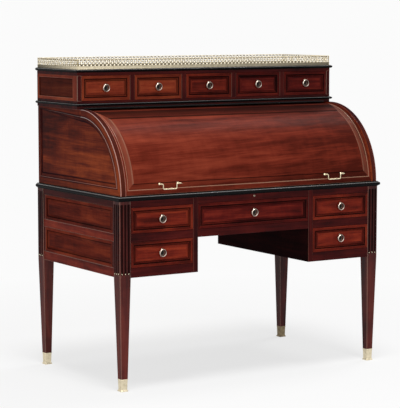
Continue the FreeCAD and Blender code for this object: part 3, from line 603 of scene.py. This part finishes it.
def srgb(red, green, blue):
    """A colour as seen on a screen, 0 to 255, as light."""
    share = np.array([red, green, blue]) / 255
    return (*np.where(share < 0.04045, share / 12.92, ((share + 0.055) / 1.055) ** 2.4).tolist(), 1)


# Finishes

def board_place(finish, axes):
    """Where a point lies in its board: from the piece's own attribute, or by the desk's axes in an order."""
    if axes is None:
        return finish.attribute("grain", "Vector")
    parts = [finish.node("SeparateXYZ", {0: finish.place}, axis) for axis in axes]
    return finish.node("CombineXYZ", dict(enumerate(parts)))


def timber(name, tones, axes=None, figure=1.0, polish=0.22, rough=0.36, sheen=0.0, glow=(1, 1, 1, 1),
           coat_ior=1.3, painted_light_drift=None, slant=0.0, wear_and_highlight_coat=1.0, wax_and_shade_tone=(0.004, 0.002, 0.002, 1),
           wear_and_highlight_tone=(0.38, 0.2, 0.14, 1)):
    """Polished timber in a dark, a middle and a light tone, under a thin clear coat.  Streaks, fine lines
    and a cloudy cross figure choose the tone, and pores lie along the grain.  A mark above 0 darkens
    quirks and hollows, as wax and painted shade; a mark below 0 lightens arrises, as wear and painted
    highlights.  A drift, as a slope and the place where it is nothing, paints light and shade over the
    piece, and a slant turns the grain."""
    finish = Finish(name)
    dark, middle, light = [srgb(*tone) for tone in tones]
    place = board_place(finish, axes)
    if slant:
        place = finish.node("VectorRotate", {"Vector": place, "Angle": slant}, rotation_type="Z_AXIS")
    wax = finish.attribute("wax", "Fac")
    dull, worn = finish.span(wax), finish.span(wax * -1.0)
    broad = finish.noise(place, (1.9, 34, 34), 5, 0.6, 0.35)
    lines = finish.noise(place, (7, 240, 240), 4, 0.6)
    cloud = finish.noise(place, (4.0, 18, 18), 4, 0.55, 0.6)
    ripple = finish.noise(place, (26, 9, 9), 3, 0.5, 0.6)
    pores = finish.span(finish.noise(place, (130, 1900, 1900), 2, 0.5), 0.62, 0.72)
    smears = finish.noise(finish.place, 9, 4, 0.6)
    tone = broad * 0.5 + lines * 0.26 + (cloud * 0.46 + ripple * 0.12) * figure + (0.12 - 0.29 * figure)
    if painted_light_drift:
        slope, level = painted_light_drift
        away = finish.vector("SUBTRACT", finish.place, level)
        tone = tone + finish.vector("DOT_PRODUCT", away, slope, "Value")
    colour = finish.ramp(tone, (0.34, dark), (0.72, light), (0.5, middle))
    for share, over in ((pores * 0.45, dark), (dull * 0.86, wax_and_shade_tone), (worn * 0.75, wear_and_highlight_tone)):
        colour = finish.mix(share, colour, over)
    coat = polish + worn * (wear_and_highlight_coat - polish) - dull * 0.8 * polish
    return finish.surface(
        Base_Color=colour, Roughness=rough + smears * 0.14 + pores * 0.12 + dull * 0.25, Coat_Weight=coat,
        Coat_Roughness=0.14, Coat_IOR=coat_ior, Specular_IOR_Level=sheen, Specular_Tint=glow,
        Normal=finish.bump(lines * 0.5 - pores, 0.00012, 0.6))


def brass(name, bright, tarnish, rough, patina):
    """Old brass: a clear yellow metal with cloudy brown tarnish, fine scratches, and, where marked, dirt
    together with painted shade.
    """
    finish = Finish(name)
    dirt_and_shade = finish.span(finish.attribute("wax", "Fac"))
    cloud = finish.noise(finish.place, 70, 5, 0.65)
    specks = finish.span(finish.noise(finish.place, 900, 2, 0.5), 0.62, 0.75)
    scratches = finish.noise(finish.place, (2200, 300, 300), 2, 0.5)
    stain = finish.span(cloud, 0.42, 0.72) * patina + specks * 0.25
    colour = finish.mix(stain, srgb(*bright), srgb(*tarnish))
    colour = finish.mix(dirt_and_shade, colour, (0.008, 0.005, 0.004, 1))
    return finish.surface(
        Base_Color=colour, Roughness=rough + cloud * 0.16 + scratches * 0.1 + dirt_and_shade * 0.25,
        Metallic=1.0 - dirt_and_shade * 0.95, Specular_IOR_Level=0.1,
        Normal=finish.bump(scratches + specks, 0.00005, 0.4))


def stone():
    """Pale veined marble: soft grey clouds, and thin darker veins where a warped noise crosses its middle."""
    finish = Finish("pale_marble")
    cloud = finish.noise(finish.place, 7, 6, 0.6, 0.8)
    web = finish.noise(finish.place, (11, 17, 11), 5, 0.6, 1.6)
    vein = 1.0 - finish.span(finish.math("ABSOLUTE", web - 0.5), 0.0, 0.035)
    colour = finish.ramp(cloud, (0.3, srgb(160, 158, 152)), (0.7, srgb(210, 206, 196)))
    colour = finish.mix(vein * 0.75, colour, srgb(104, 108, 114))
    return finish.surface(Base_Color=colour, Roughness=0.2 + cloud * 0.15, Coat_Weight=0.25,
                          Coat_Roughness=0.1, Normal=finish.bump(cloud, 0.0001, 0.3))


def blackened_iron():
    """Forged iron: dark grey with brown bloom and a hammered surface."""
    finish = Finish("blackened_iron")
    bloom = finish.noise(finish.place, 45, 5, 0.6)
    dents = finish.noise(finish.place, 160, 2, 0.5)
    colour = finish.ramp(bloom, (0.35, (0.035, 0.034, 0.036, 1)), (0.75, (0.12, 0.075, 0.05, 1)))
    return finish.surface(Base_Color=colour, Roughness=0.42 + bloom * 0.3, Metallic=0.85,
                          Normal=finish.bump(dents, 0.0004, 0.5))


def tooled_leather():
    """Green leather with a fine pebble grain, darker in patches, and gilt lines where its mark says so."""
    finish = Finish("tooled_leather")
    gilt = finish.span(finish.attribute("wax", "Fac"), 0.35, 0.6)
    pebbles = finish.node("TexVoronoi", {"Vector": finish.place, "Scale": 520.0}, feature="SMOOTH_F1")
    wear = finish.noise(finish.place, 8, 4, 0.6)
    colour = finish.ramp(wear, (0.3, srgb(28, 48, 34)), (0.72, srgb(58, 80, 52)))
    colour = finish.mix(finish.span(pebbles, 0.2, 0.7) * 0.35, colour, srgb(20, 32, 24))
    colour = finish.mix(gilt, colour, srgb(196, 158, 84))
    return finish.surface(Base_Color=colour, Roughness=0.5 + wear * 0.2 - gilt * 0.2, Metallic=gilt * 0.9,
                          Normal=finish.bump(pebbles * -1.0, 0.00025, 0.6))


# Finishes made up; the tones of a timber are dark, middle and light, as seen on a screen
STAINED = ((32, 7, 8), (61, 14, 13), (90, 26, 21))
OAK = ((120, 84, 50), (156, 114, 70), (186, 146, 98))
figured = timber("figured_mahogany", ((60, 14, 9), (108, 31, 19), (150, 56, 32)), figure=1.2)
russet = timber("russet_mahogany", ((44, 7, 6), (82, 17, 13), (126, 40, 27)), figure=1.2)
amber = timber("amber_mahogany", ((90, 29, 17), (132, 50, 29), (168, 82, 47)), figure=1.1)
# The fall darkens towards the right: painted shade.
fall_veneer = timber(
    "fall_veneer", ((68, 22, 15), (103, 37, 25), (138, 59, 40)), figure=1.1, slant=-0.05, wear_and_highlight_coat=0.4,
    polish=0.015, rough=0.32, sheen=0.02, glow=(1.0, 0.5, 0.2, 1), wear_and_highlight_tone=(0.44, 0.25, 0.16, 1),
    painted_light_drift=((-0.14, 0.0, 0.0), (-0.2, 0.0, 0.0)))
panelled = timber("panelled_mahogany", ((60, 17, 12), (102, 34, 21), (148, 61, 34)), figure=1.2, polish=0.1)
# The cheeks lighten towards the lower front and darken towards the upper back: painted light and shade.
cheek_veneer = timber(
    "cheek_veneer", ((56, 17, 13), (98, 34, 19), (154, 68, 33)), figure=1.2, polish=0.14,
    wear_and_highlight_tone=(0.52, 0.4, 0.36, 1), wax_and_shade_tone=(0.012, 0.006, 0.01, 1),
    painted_light_drift=((0.0, -0.26, -0.45), (0.0, 0.02, 0.96)))
# The legs darken towards the top and towards the right: painted shade.
faded = timber("faded_mahogany", ((46, 14, 13), (80, 27, 23), (114, 46, 36)), polish=0.3, coat_ior=1.5,
               painted_light_drift=((-0.08, 0.0, -0.22), (0.0, 0.0, 0.25)))
stained = timber("stained_mahogany", STAINED)
stained_x = timber("stained_mahogany_x", STAINED, axes="XYZ")
shadowed_y = timber("shadowed_mahogany_y", ((14, 2, 3), (28, 5, 6), (44, 10, 10)), axes="YXZ", polish=0.04)
ebonised = timber("ebonised_wood", ((7, 7, 8), (12, 12, 13), (22, 21, 21)), figure=0.4, rough=0.26,
                  wear_and_highlight_tone=(0.22, 0.215, 0.21, 1))
drawer_oak = timber("drawer_oak", OAK, polish=0.1, rough=0.55, wax_and_shade_tone=srgb(60, 42, 26))
oak_x = timber("oak_x", OAK, axes="XYZ", polish=0.1, rough=0.55)
pale_brass = brass("pale_brass", (228, 216, 188), (150, 136, 104), rough=0.36, patina=0.4)
dull_brass = brass("dull_brass", (196, 182, 148), (122, 110, 84), rough=0.34, patina=0.6)
lattice_brass = brass("lattice_brass", (158, 144, 114), (92, 80, 60), rough=0.34, patina=0.6)
stud_brass = brass("stud_brass", (255, 246, 224), (206, 190, 156), rough=0.3, patina=0.2)
bright_brass = brass("bright_brass", (236, 222, 188), (120, 98, 70), rough=0.2, patina=0.35)
rubbed_brass = brass("rubbed_brass", (240, 222, 206), (150, 128, 112), rough=0.16, patina=0.3)
# A darker brass for the back right sabot: painted shade.
tarnished_brass = brass("tarnished_brass", (132, 117, 92), (64, 52, 38), rough=0.34, patina=0.6)
aged_brass = brass("aged_brass", (172, 157, 140), (66, 53, 46), rough=0.16, patina=0.45)
marble = stone()
iron = blackened_iron()
leather = tooled_leather()


# The lower case

# A sabot in (height, half width, corner radius), then turned pieces in (radius, distance along the axis)
SHOE = [(0, 16.2, 3.6), (0.8, 17, 4), (2.6, 17, 4), (4.2, 16, 3.6), (6, 14.4, 3), (8.5, 13.7, 2.6),
        (11, 13.6, 2.4), (44.6, 14.6, 2.2), (45.2, 15.3, 2.4), (46.4, 15.7, 2.6), (48, 15.7, 2.6),
        (49.2, 15.3, 2.4), (50, 14.6, 2.2)]
FLUTE_TIP = [(0, -2), (1.2, -1.7), (1.8, -0.9), (2, 0), (1.7, 1), (1.1, 1.6), (1.3, 2), (1.2, 2.5),
             (0.6, 3.3), (0, 3.6)]
KEY_RIM = [(2, 0), (2, 0.8), (2.4, 1.2), (3, 1.3), (3.8, 0.9), (4.2, 0.4), (4.3, 0), (2, 0)]


def legs_and_feet():
    """Fluted posts that run down into tapering legs, their sabots and the bright tips of the flutes."""
    right_side, left_side, front_side = {0}, {2}, {3}
    rows = {"front_legs": FRONT + POST / 2, "back_legs": BACK - POST / 2}
    leg_x = HALF - POST / 2
    for name, y in rows.items():
        in_front = front_side if name == "front_legs" else set()
        skins = [leg((-leg_x, y), left_side | in_front), leg((leg_x, y), right_side | in_front)]
        make(f"{name}_turned", {faded: skins}, [name])
    shoes = [rounded_squares((sign * leg_x, y), SHOE) for sign in BOTH_SIDES for y in rows.values()]
    # The back right sabot is in the darker brass: painted shade.
    make("sabots", {pale_brass: shoes[:-1], tarnished_brass: shoes[-1:]}, ["leg_sabots"])
    z = CASE_BOTTOM + FLUTE_MARGIN
    spots = [(sign * HALF, y + step, z) for sign in BOTH_SIDES for y in rows.values() for step in FLUTES]
    spots += [(sign * leg_x + step, FRONT, z) for sign in BOTH_SIDES for step in FLUTES]
    tips = [lathe(FLUTE_TIP, spot, UP, 14) for spot in spots]
    make("flute_drops", {pale_brass: tips}, ["flute_tips"])


def framed_sides():
    """Two moulded panels between narrow stiles and rails on each side, and facings on the pedestals."""
    stile, board, drop, gap, proud, deep = np.array([13, 25, 0.3, 0.4, 0.4, 5]) * MM
    x, y = (HALF - board, SIDES[1, X]), SIDES[:, Y]
    stiles = ((y[0], y[0] + stile), (y[1] - stile, y[1]))
    width = (stiles[0][1] + gap, stiles[1][0] - gap)
    panels = [(low[Z] - drop, high[Z] + DRAWER_GAP) for low, high in map(box, LOWER_DRAWERS[:2])]
    low_rails = ((CASE_BOTTOM, panels[0][0]), (panels[0][1], panels[1][0]))
    skins, frames, bright = [], [], []
    for sign in BOTH_SIDES:
        for low, high in panels:
            skins.append(moulded_board(width, (low + gap, high - gap), SIDE_PROFILE, on_side(x[1], sign)))
            frames += [side_plank(sign, x, upright, (low, high), Z) for upright in stiles]
        # The rails below the panels carry strong painted highlights on their arrises.
        bright += [side_plank(sign, x, y, rail, Y, worn=1.0) for rail in low_rails]
        frames.append(side_plank(sign, x, y, (panels[1][1], WAIST), Y))
    make("side_panels", {panelled: skins, stained: frames, figured: bright}, ["lower_sides"])
    x = (box("drawer_middle")[1, X] + DRAWER_GAP, box("pedestal_walls")[1, X])
    y = (FRONT - proud, FRONT + deep)
    facings = [side_plank(sign, x, y, (CASE_BOTTOM, WAIST), Z, worn=0.2) for sign in BOTH_SIDES]
    make("pedestal_facings", {stained: facings})


def waist_and_key():
    """The ebonised bead round the waist, and the rim of the keyhole."""
    run = bead(8, 1, HALF, FRONT, *box("waist_moulding")[:, Z])
    make("waist_bead", {ebonised: [run]}, ["waist_moulding"])
    keyhole = box("key_escutcheon").mean(axis=0)
    keyhole[Y] = FRONT
    make("key_plate", {aged_brass: [lathe(KEY_RIM, keyhole, TO_FRONT)]}, ["key_escutcheon"])


# Drawers and their ring pulls

DRAWER_VENEERS = {"drawer_middle": russet, "upper_drawer_1": amber, "upper_drawer_2": amber,
                  "upper_drawer_4": russet, "upper_drawer_5": russet}
STEM = [(0, -0.5), (4.6, -0.5), (4.8, 0.4), (4.4, 1.1), (3.4, 1.4), (2.6, 2.2), (1.9, 3.2), (1.9, 4.2),
        (0, 4.9)]
DISH = [(0, -0.5), (11.8, -0.5), (12, 0.6), (11.4, 1.5), (10.5, 1.6), (9.9, 1.1), (8, 0.6), (4, 0.35),
        (0, 0.3)]
# The dish darkens towards its middle.
DISH_DARKENING = [0.6, 0.6, 0.6, 0.6, 0.7, 0.8, 0.9, 1, 1]
EYE_SECTION = ring_section(4.35, 0.7)


def drawer(name):
    """A moulded front, and an oak box behind it."""
    front_deep, front_lift, rim_drop, board, bottom, lift = np.array([20, 0.7, 13, 9, 6, 6]) * MM
    x, y, z = box(name).T
    front = moulded_board(x, (z[0] + front_lift, z[1]), DRAWER_PROFILE, on_front(y[0]))
    make(f"{name}_front", {DRAWER_VENEERS.get(name, figured): [front]}, [name], name)
    deep, tall = (y[0] + front_deep, y[1]), (z[0], z[1] - rim_drop)
    inner, back, floor = (x[0] + board, x[1] - board), y[1] - board, z[0] + lift
    boards = [plank((x[0], inner[0]), deep, tall, Y), plank((inner[1], x[1]), deep, tall, Y),
              plank(inner, (back, y[1]), tall, X), plank(inner, (deep[0], back), (floor, floor + bottom), X)]
    make(f"{name}_box", {drawer_oak: boards}, body=name)


def ring_pull(name):
    """A ring in a turned eye over a small dished plate.  The ring has painted shade inside and on two
    opposite sides, so that its upper left and lower right read as highlights.
    """
    eye, ring = box(f"{name}_eye"), box(f"{name}_ring")
    centre, hang = eye.mean(axis=0), ring.mean(axis=0)
    near, field = eye[:, Y]
    # The eye is darkened by painted shade, which dims its highlight.
    loop = lathe(EYE_SECTION, (centre[X], near + EYE_NOSE, centre[Z]), ALONG_X, wax=0.4)
    stem = lathe(STEM, (centre[X], field, centre[Z]), TO_FRONT)
    dish = lathe(DISH, (hang[X], field, hang[Z]), TO_FRONT, wax=DISH_DARKENING)
    make(f"{name}_eye_turned", {aged_brass: [loop, stem, dish]}, [f"{name}_eye"], name)
    # Painted shade on the ring: most on its inner side and at two opposite turns, least at the upper left and
    # lower right.
    turns, ring_shade, swing, lit_turn, darkest = 40, 0.5, 0.6, 1.5 * np.pi, 0.9
    outer, gauge, _ = np.ptp(ring, axis=0) / 2 / MM
    section = ring_section(outer - gauge, gauge)
    ring_shade = ring_shade - swing * np.cos(2 * full_turn(turns) - lit_turn)
    ring_shade = np.clip((outer - gauge - section[:, :1]) / gauge + ring_shade, 0, darkest)
    skin = lathe(section, hang, TO_FRONT, turns, ring_shade)
    make(f"{name}_ring_wire", {rubbed_brass: [skin]}, [f"{name}_ring"], f"{name}_ring")


# Cheeks, cylinder and handles

# Marks on the fall's frame: painted shadow towards the top under the frieze, painted highlights at both
# sides.
TOP_SHADE = ([0, 30, 47], [1.0, 0.9, 0.1])
SIDE_HIGHLIGHT = ([22, 25, 42, 45, 48], [0, -0.3, -0.3, -1.6, 0])
BAIL_POST = [(0, -2), (4.8, -2), (5, 0.2), (4.6, 0.9), (3.6, 1.2), (3.2, 1.8), (2.2, 2.3), (1.8, 3.2)]
BAIL_EYE_SECTION = ring_section(3.0, 0.75)


def cheeks():
    """The two quarter-round cheeks with hollowed edges: a circular hollow between narrow flats.  The hollow
    holds painted shade, and the flats carry painted highlights on the left cheek and painted shade on the
    right."""
    radius, depth, hollow_shade = 9, 4, 0.85
    thick = np.ptp(CHEEK[:, X]) / MM
    level = radius - depth
    sweep = np.linspace(-1, 1, 11) * math.sqrt(radius ** 2 - level ** 2)
    sunk = np.sqrt(radius ** 2 - sweep ** 2) - level
    edge = [(0.8, 0, -thick, 0), (0.2, 0, 0.3 - thick, -0.9), (0, 0, 1 - thick, -0.6), (0, 0, 2.2 - thick, 0)]
    edge += [(inset, 0, at - thick / 2, hollow_shade) for inset, at in zip(sunk, sweep)]
    edge += [(0, 0, -2.4, -0.3), (0, 0, -1, -1), (0.2, 0.2, -0.3, -1), (0.9, 0.9, 0, -0.9), (2.2, 2.2, 0, 0)]
    framed = [(inset, inset, height, wax) for inset, height, wax in CHEEK_FRAME]
    for side, sign, edge_light in (("left", -1, 1.0), ("right", 1, -0.9)):
        painted_light_marks = [(*row, wax * edge_light if wax < 0 else wax) for *row, wax in edge]
        board = quarter_board(painted_light_marks + framed, sign)
        make(f"cheek_{side}_panelled", {cheek_veneer: [board]}, [f"cheek_{side}"])


def cylinder_fall():
    """The veneered face of the fall with its frame: painted shadow along the top, under the frieze, and
    painted highlights at both sides.
    """
    rows = finer(FACE_PROFILE, 2)
    inset, _, wax = rows.T
    shaded, painted_light_marks = [wax + np.interp(inset, *stops) for stops in (TOP_SHADE, SIDE_HIGHLIGHT)]
    face = moulded_board(VENEER[:, X], (0, FACE_RADIUS * FACE_SWEEP), rows, round_axis(FACE_RADIUS),
                         cuts=(8, 96), slim=10, crown=4.1, side_wax=(wax, painted_light_marks, shaded, painted_light_marks))
    make("fall_face", {fall_veneer: [face]}, ["cylinder_veneer", "cylinder_band"], "cylinder")


def bail_handles():
    """Squared bails with round corners and a swelling grip, hung by their arms in turned eye posts."""
    grip_thins, arm_gauge, end_gauges = 0.12, 0.84, [0, 0.5, 0.75]
    end_places = np.array([0, 0.2, 0.6, 1.2])
    posts = []
    for bail in ("bail_left", "bail_right"):
        ends, depth, tall = box(bail).T
        gauge = np.ptp(depth) / 2
        x, y, foot, top = ends.mean(), depth.mean(), tall[0] + gauge, tall[1] - gauge
        left, right = x - GRIP_HALF, x + GRIP_HALF
        line = [(ends[0], top), (left, top), (left, foot), (right, foot), (right, top), (ends[1], top)]
        path = rounded_path(np.array([(across, y, up) for across, up in line]), BAIL_FILLET)
        off_middle = np.clip(np.abs(path[:, X] - x) / GRIP_HALF, 0, 1)
        girth = np.where(path[:, Z] < foot + 10 * WELD, 1.0 - grip_thins * off_middle, arm_gauge)
        girth = gauge * np.concatenate([end_gauges, girth, end_gauges[::-1]])
        path = np.pad(path, ((len(end_gauges),) * 2, (0, 0)), "edge")
        path[:len(end_places), X] = ends[0] + end_places * gauge
        path[-len(end_places):, X] = ends[1] - end_places[::-1] * gauge
        make(f"{bail}_wire", {bright_brass: [wire(path, girth, TO_BACK)]}, [bail], bail)
        seat = AXIS_Y - math.sqrt((FACE_RADIUS - BAND_SUNK) ** 2 - (top - AXIS_Z) ** 2)
        stand = (seat - y) / MM
        turned = BAIL_POST + [(2, stand - 3.6), (0, stand - 2.8)]
        arm = (ends[1] - x + GRIP_HALF) / 2
        for centre_x in (x - arm, x + arm):
            posts.append(lathe(turned, (centre_x, seat, top), TO_FRONT))
            posts.append(lathe(BAIL_EYE_SECTION, (centre_x, y, top), ALONG_X))
    make("bail_eyes", {bright_brass: posts}, ["bail_posts"], "cylinder")


def slide_top():
    """The leather of the writing slide, let in flush, with a double gilt line near its edge."""
    x, y, z = box("slide_leather").T
    edge = [(0, -np.ptp(z) / MM, 0), (0, -0.6, 0), (0.6, -0.1, 0)]
    gilding = [(14, 0, 0), (14.4, -0.15, 1), (16.4, -0.15, 1), (16.8, 0, 0), (20, 0, 0), (20.4, -0.15, 1),
               (21.2, -0.15, 1), (21.6, 0, 0), (30, 0, 0)]
    skin = moulded_board(x, y, edge + gilding, in_axes((X, Y, Z), z[1]))
    make("slide_skiver", {leather: [skin]}, ["slide_leather"], "writing_slide")


# Upper case and gallery

def upper_case():
    """The framed sides, the stiles between the drawers, the ebonised mouldings above and below, and a dark
    lip under the frieze that paints the shadow of the slot above the fall.
    """
    stile, facing_deep, back_deep, shadow_lip_proud, shadow_lip_deep, shadow_lip_tall = np.array([30, 6, 4, 0.8, 4, 4.5]) * MM
    x, y, z = UPPER.T
    drawers = [box(name)[:, X] for name in UPPER_DRAWERS]
    side = (drawers[-1][1] + DRAWER_GAP, x[1])
    facing, front, back = y[0] + facing_deep, y[0] + stile, y[1] - back_deep
    profile = [(0, (side[0] - side[1]) / MM, 0)] + UPPER_PANEL
    skins, frames = [], []
    for sign in BOTH_SIDES:
        skins.append(moulded_board((front, back), z, profile, on_side(x[1], sign)))
        # The front facing carries strong painted highlights on its arrises.
        frames.append(side_plank(sign, side, (y[0], facing), z, Z, worn=1.0))
        skins.append(side_plank(sign, side, (facing, front), z, Z))
        frames.append(side_plank(sign, side, (back, y[1]), z, Z))
    rear = box("back_boards")[0, Y]
    for before, after in zip(drawers, drawers[1:]):
        frames.append(plank((before[1] + DRAWER_GAP, after[0] - DRAWER_GAP), (y[0], rear), z, Z))
    make("upper_stiles", {amber: skins, stained: frames}, ["upper_partitions"])
    runs = [bead(4, 0.6, x[1], y[0], FRIEZE_TOP, MOULD_TOP), bead(5, 0.6, x[1], y[0], *MARBLE[:, Z])]
    make("case_beads", {ebonised: runs}, ["case_mouldings"])
    # A dark lip under the frieze, which paints the shadow of the slot above the fall.
    frieze = box("upper_boards")[0, Z]
    shadow_lip = plank(VENEER[:, X], (y[0] - shadow_lip_proud, y[0] + shadow_lip_deep), (frieze, frieze + shadow_lip_tall), X)
    make("frieze_lip", {ebonised: [shadow_lip]})


def gallery():
    """A pierced gallery on four sides: a moulded base, a trellis with studs, a round rim and corner posts."""
    low, high = box("brass_gallery")
    x, y_front, y_back = high[X] - HALF_SHEET, low[Y] + HALF_SHEET, high[Y] - HALF_SHEET
    tall = (high[Z] - low[Z]) / MM
    base_top, let_in, rim, rim_spread = 12, 3.4, 1.5, 1.2
    outside = [(1.9, 0), (1.9, 2.2), (1.6, 2.6), (1.6, 8.2), (2, 8.8), (2, 11.2), (1.4, base_top)]
    inside = [(-out, up) for out, up in outside[::-1]]
    base = inside[-1:] + outside + inside[:-1]
    turn = full_turn(12)[:-1]
    cap = stacked(rim_spread * rim * np.cos(turn), tall - rim + rim * np.sin(turn))
    round_trip = [(-1, -1, 0), (-1, 1, 0), (1, 1, 0), (1, -1, 0), (-1, -1, 0)]
    path = [(sign_x * x, y_front if sign_y < 0 else y_back, low[Z]) for sign_x, sign_y, _ in round_trip]
    # Painted shade on the base: none at the front left corner, most at the back left and front right corners.
    base_shade = np.array([0.0, 0.75, 0.6, 0.75, 0.0])[:, None]
    pale = [mitred_run(base, path, round_trip, base_shade), mitred_run(cap, path, round_trip)]
    band = (low[Z] + (base_top - let_in) * MM, high[Z] - 2 * rim * MM)
    strips = [trellis(-x, 2 * x, *band, on_front(y)) for y in (y_front, y_back)]
    strips += [trellis(y_front, y_back - y_front, *band, on_side(at, 1)) for at in (-x, x)]
    lattice, studs = zip(*strips)
    post = [(0, 0), (2, 0), (2, 11), (1.5, 12.5), (1.5, tall - 8), (1.8, tall - 6), (2, tall - 3),
            (1.4, tall - 1), (0, tall)]
    posts = [lathe(post, corner, UP, 12) for corner in path[:-1]]
    dressed = {dull_brass: posts, pale_brass: pale, lattice_brass: lattice, stud_brass: studs}
    make("gallery_trellis", dressed, ["brass_gallery"])


# Plain boards and irons kept from the frame

KEPT = {stained_x: ("front_rails", "desk_bed", "letter_rack", "upper_boards", "writing_slide"),
        shadowed_y: ("pedestal_walls", "drawer_runners"), oak_x: ("back_boards", "cylinder_staves"),
        iron: ("cylinder_quadrants", "cylinder_pivots"), marble: ("marble_top",)}


def finish_node(name, finish):
    """A node as it is, its loose triangles joined, its arrises taken off, in its own finish."""
    item = frame["nodes"][name]
    item.data.materials.clear()
    item.data.materials.append(finish)
    given(item.modifiers.new("join", "WELD"), merge_threshold=0.01 * MM)
    given(item.modifiers.new("arris", "BEVEL"), width=PLANK_ARRIS * MM, segments=2, limit_method="ANGLE",
          angle_limit=math.radians(40))
    given(item.modifiers.new("shade", "WEIGHTED_NORMAL"), keep_sharp=True)


legs_and_feet()
framed_sides()
waist_and_key()
for drawer_name in LOWER_DRAWERS + UPPER_DRAWERS:
    drawer(drawer_name)
    ring_pull(drawer_name)
cheeks()
cylinder_fall()
bail_handles()
slide_top()
upper_case()
gallery()
for node_finish, node_names in KEPT.items():
    for node_name in node_names:
        finish_node(node_name, node_finish)


# Stage

BACKDROP = (0.965, 0.965, 0.965, 1)
CHALK = (0.88, 0.88, 0.88, 1)
BACKDROP_RAYS = ("Is Camera Ray", "Is Glossy Ray", "Is Transmission Ray")
AMBIENT = 0.3
FLOOR_REACH = 40.0
NEAR_WHITE = 0.72
SHADOW_END, WHITE_START = 1.2, 2.6
LAMPS = {"overhead": ((-1.2, -2.4, 12.0), (0, 0, 0.5), 3.4, 850),
         "sheen": ((5.2, 1.4, 9.0), (0, 0, 0.9), 2.6, 200),
         "front": ((-0.4, -5.0, 2.8), (0.1, 0, 0.7), 1.6, 56),
         "left": ((-5.0, -2.2, 2.4), (0, 0, 0.7), 1.6, 25)}


def backdrop_rays(finish):
    """1 for a ray from the camera, a mirror or a glass, and 0 for any other."""
    return sum(finish.node("LightPath", {}, ray) for ray in BACKDROP_RAYS)


def floor_and_surround():
    """A pale floor that keeps the desk's shadow and turns white further off, and a white surround."""
    mesh = bpy.data.meshes.new("studio_floor")
    outline = np.array([(-1, -1, 0), (1, -1, 0), (1, 1, 0), (-1, 1, 0)]) * FLOOR_REACH
    mesh.from_pydata(outline.tolist(), [], [(0, 1, 2, 3)])
    floor = in_scene("studio_floor", mesh)
    paint = Finish("studio_floor")
    away = paint.vector("LENGTH", paint.place, output="Value")
    share = NEAR_WHITE + (1 - NEAR_WHITE) * paint.span(away, SHADOW_END, WHITE_START)
    white = paint.node("Emission", {"Color": BACKDROP, "Strength": 1.0})
    chalk = paint.node("BsdfDiffuse", {"Color": CHALK})
    mixed = paint.node("MixShader", {0: backdrop_rays(paint) * share, 1: chalk, 2: white})
    paint.node("OutputMaterial", {"Surface": mixed})
    mesh.materials.append(paint.owner)

    sky = Finish("studio", "worlds")
    light = sky.node("Background", {"Color": BACKDROP, "Strength": sky.span(backdrop_rays(sky) + AMBIENT)})
    sky.node("OutputWorld", {"Surface": light})
    bpy.context.scene.world = sky.owner


def lamp(name, place, target, size, power):
    """A square soft lamp that looks at a target."""
    x, y, z = np.subtract(target, place)
    turned = (math.atan2(math.hypot(x, y), -z), 0, math.atan2(-x, y))
    data = given(bpy.data.lights.new(name, "AREA"), size=size, energy=power)
    in_scene(name, data, location=place, rotation_euler=turned)


def photograph_camera():
    """The camera that was fitted to the photograph."""
    data = given(bpy.data.cameras.new("camera"), lens=155.22, sensor_width=36)
    place, turned = (-4.0027, -6.3167, 1.4873), np.radians((90 - 6.125, 0, -32.07))
    bpy.context.scene.camera = in_scene("camera", data, location=place, rotation_euler=turned)


bpy.context.scene.view_settings.view_transform = "Standard"
floor_and_surround()
for lamp_name, lamp_values in LAMPS.items():
    lamp(lamp_name, *lamp_values)
photograph_camera()
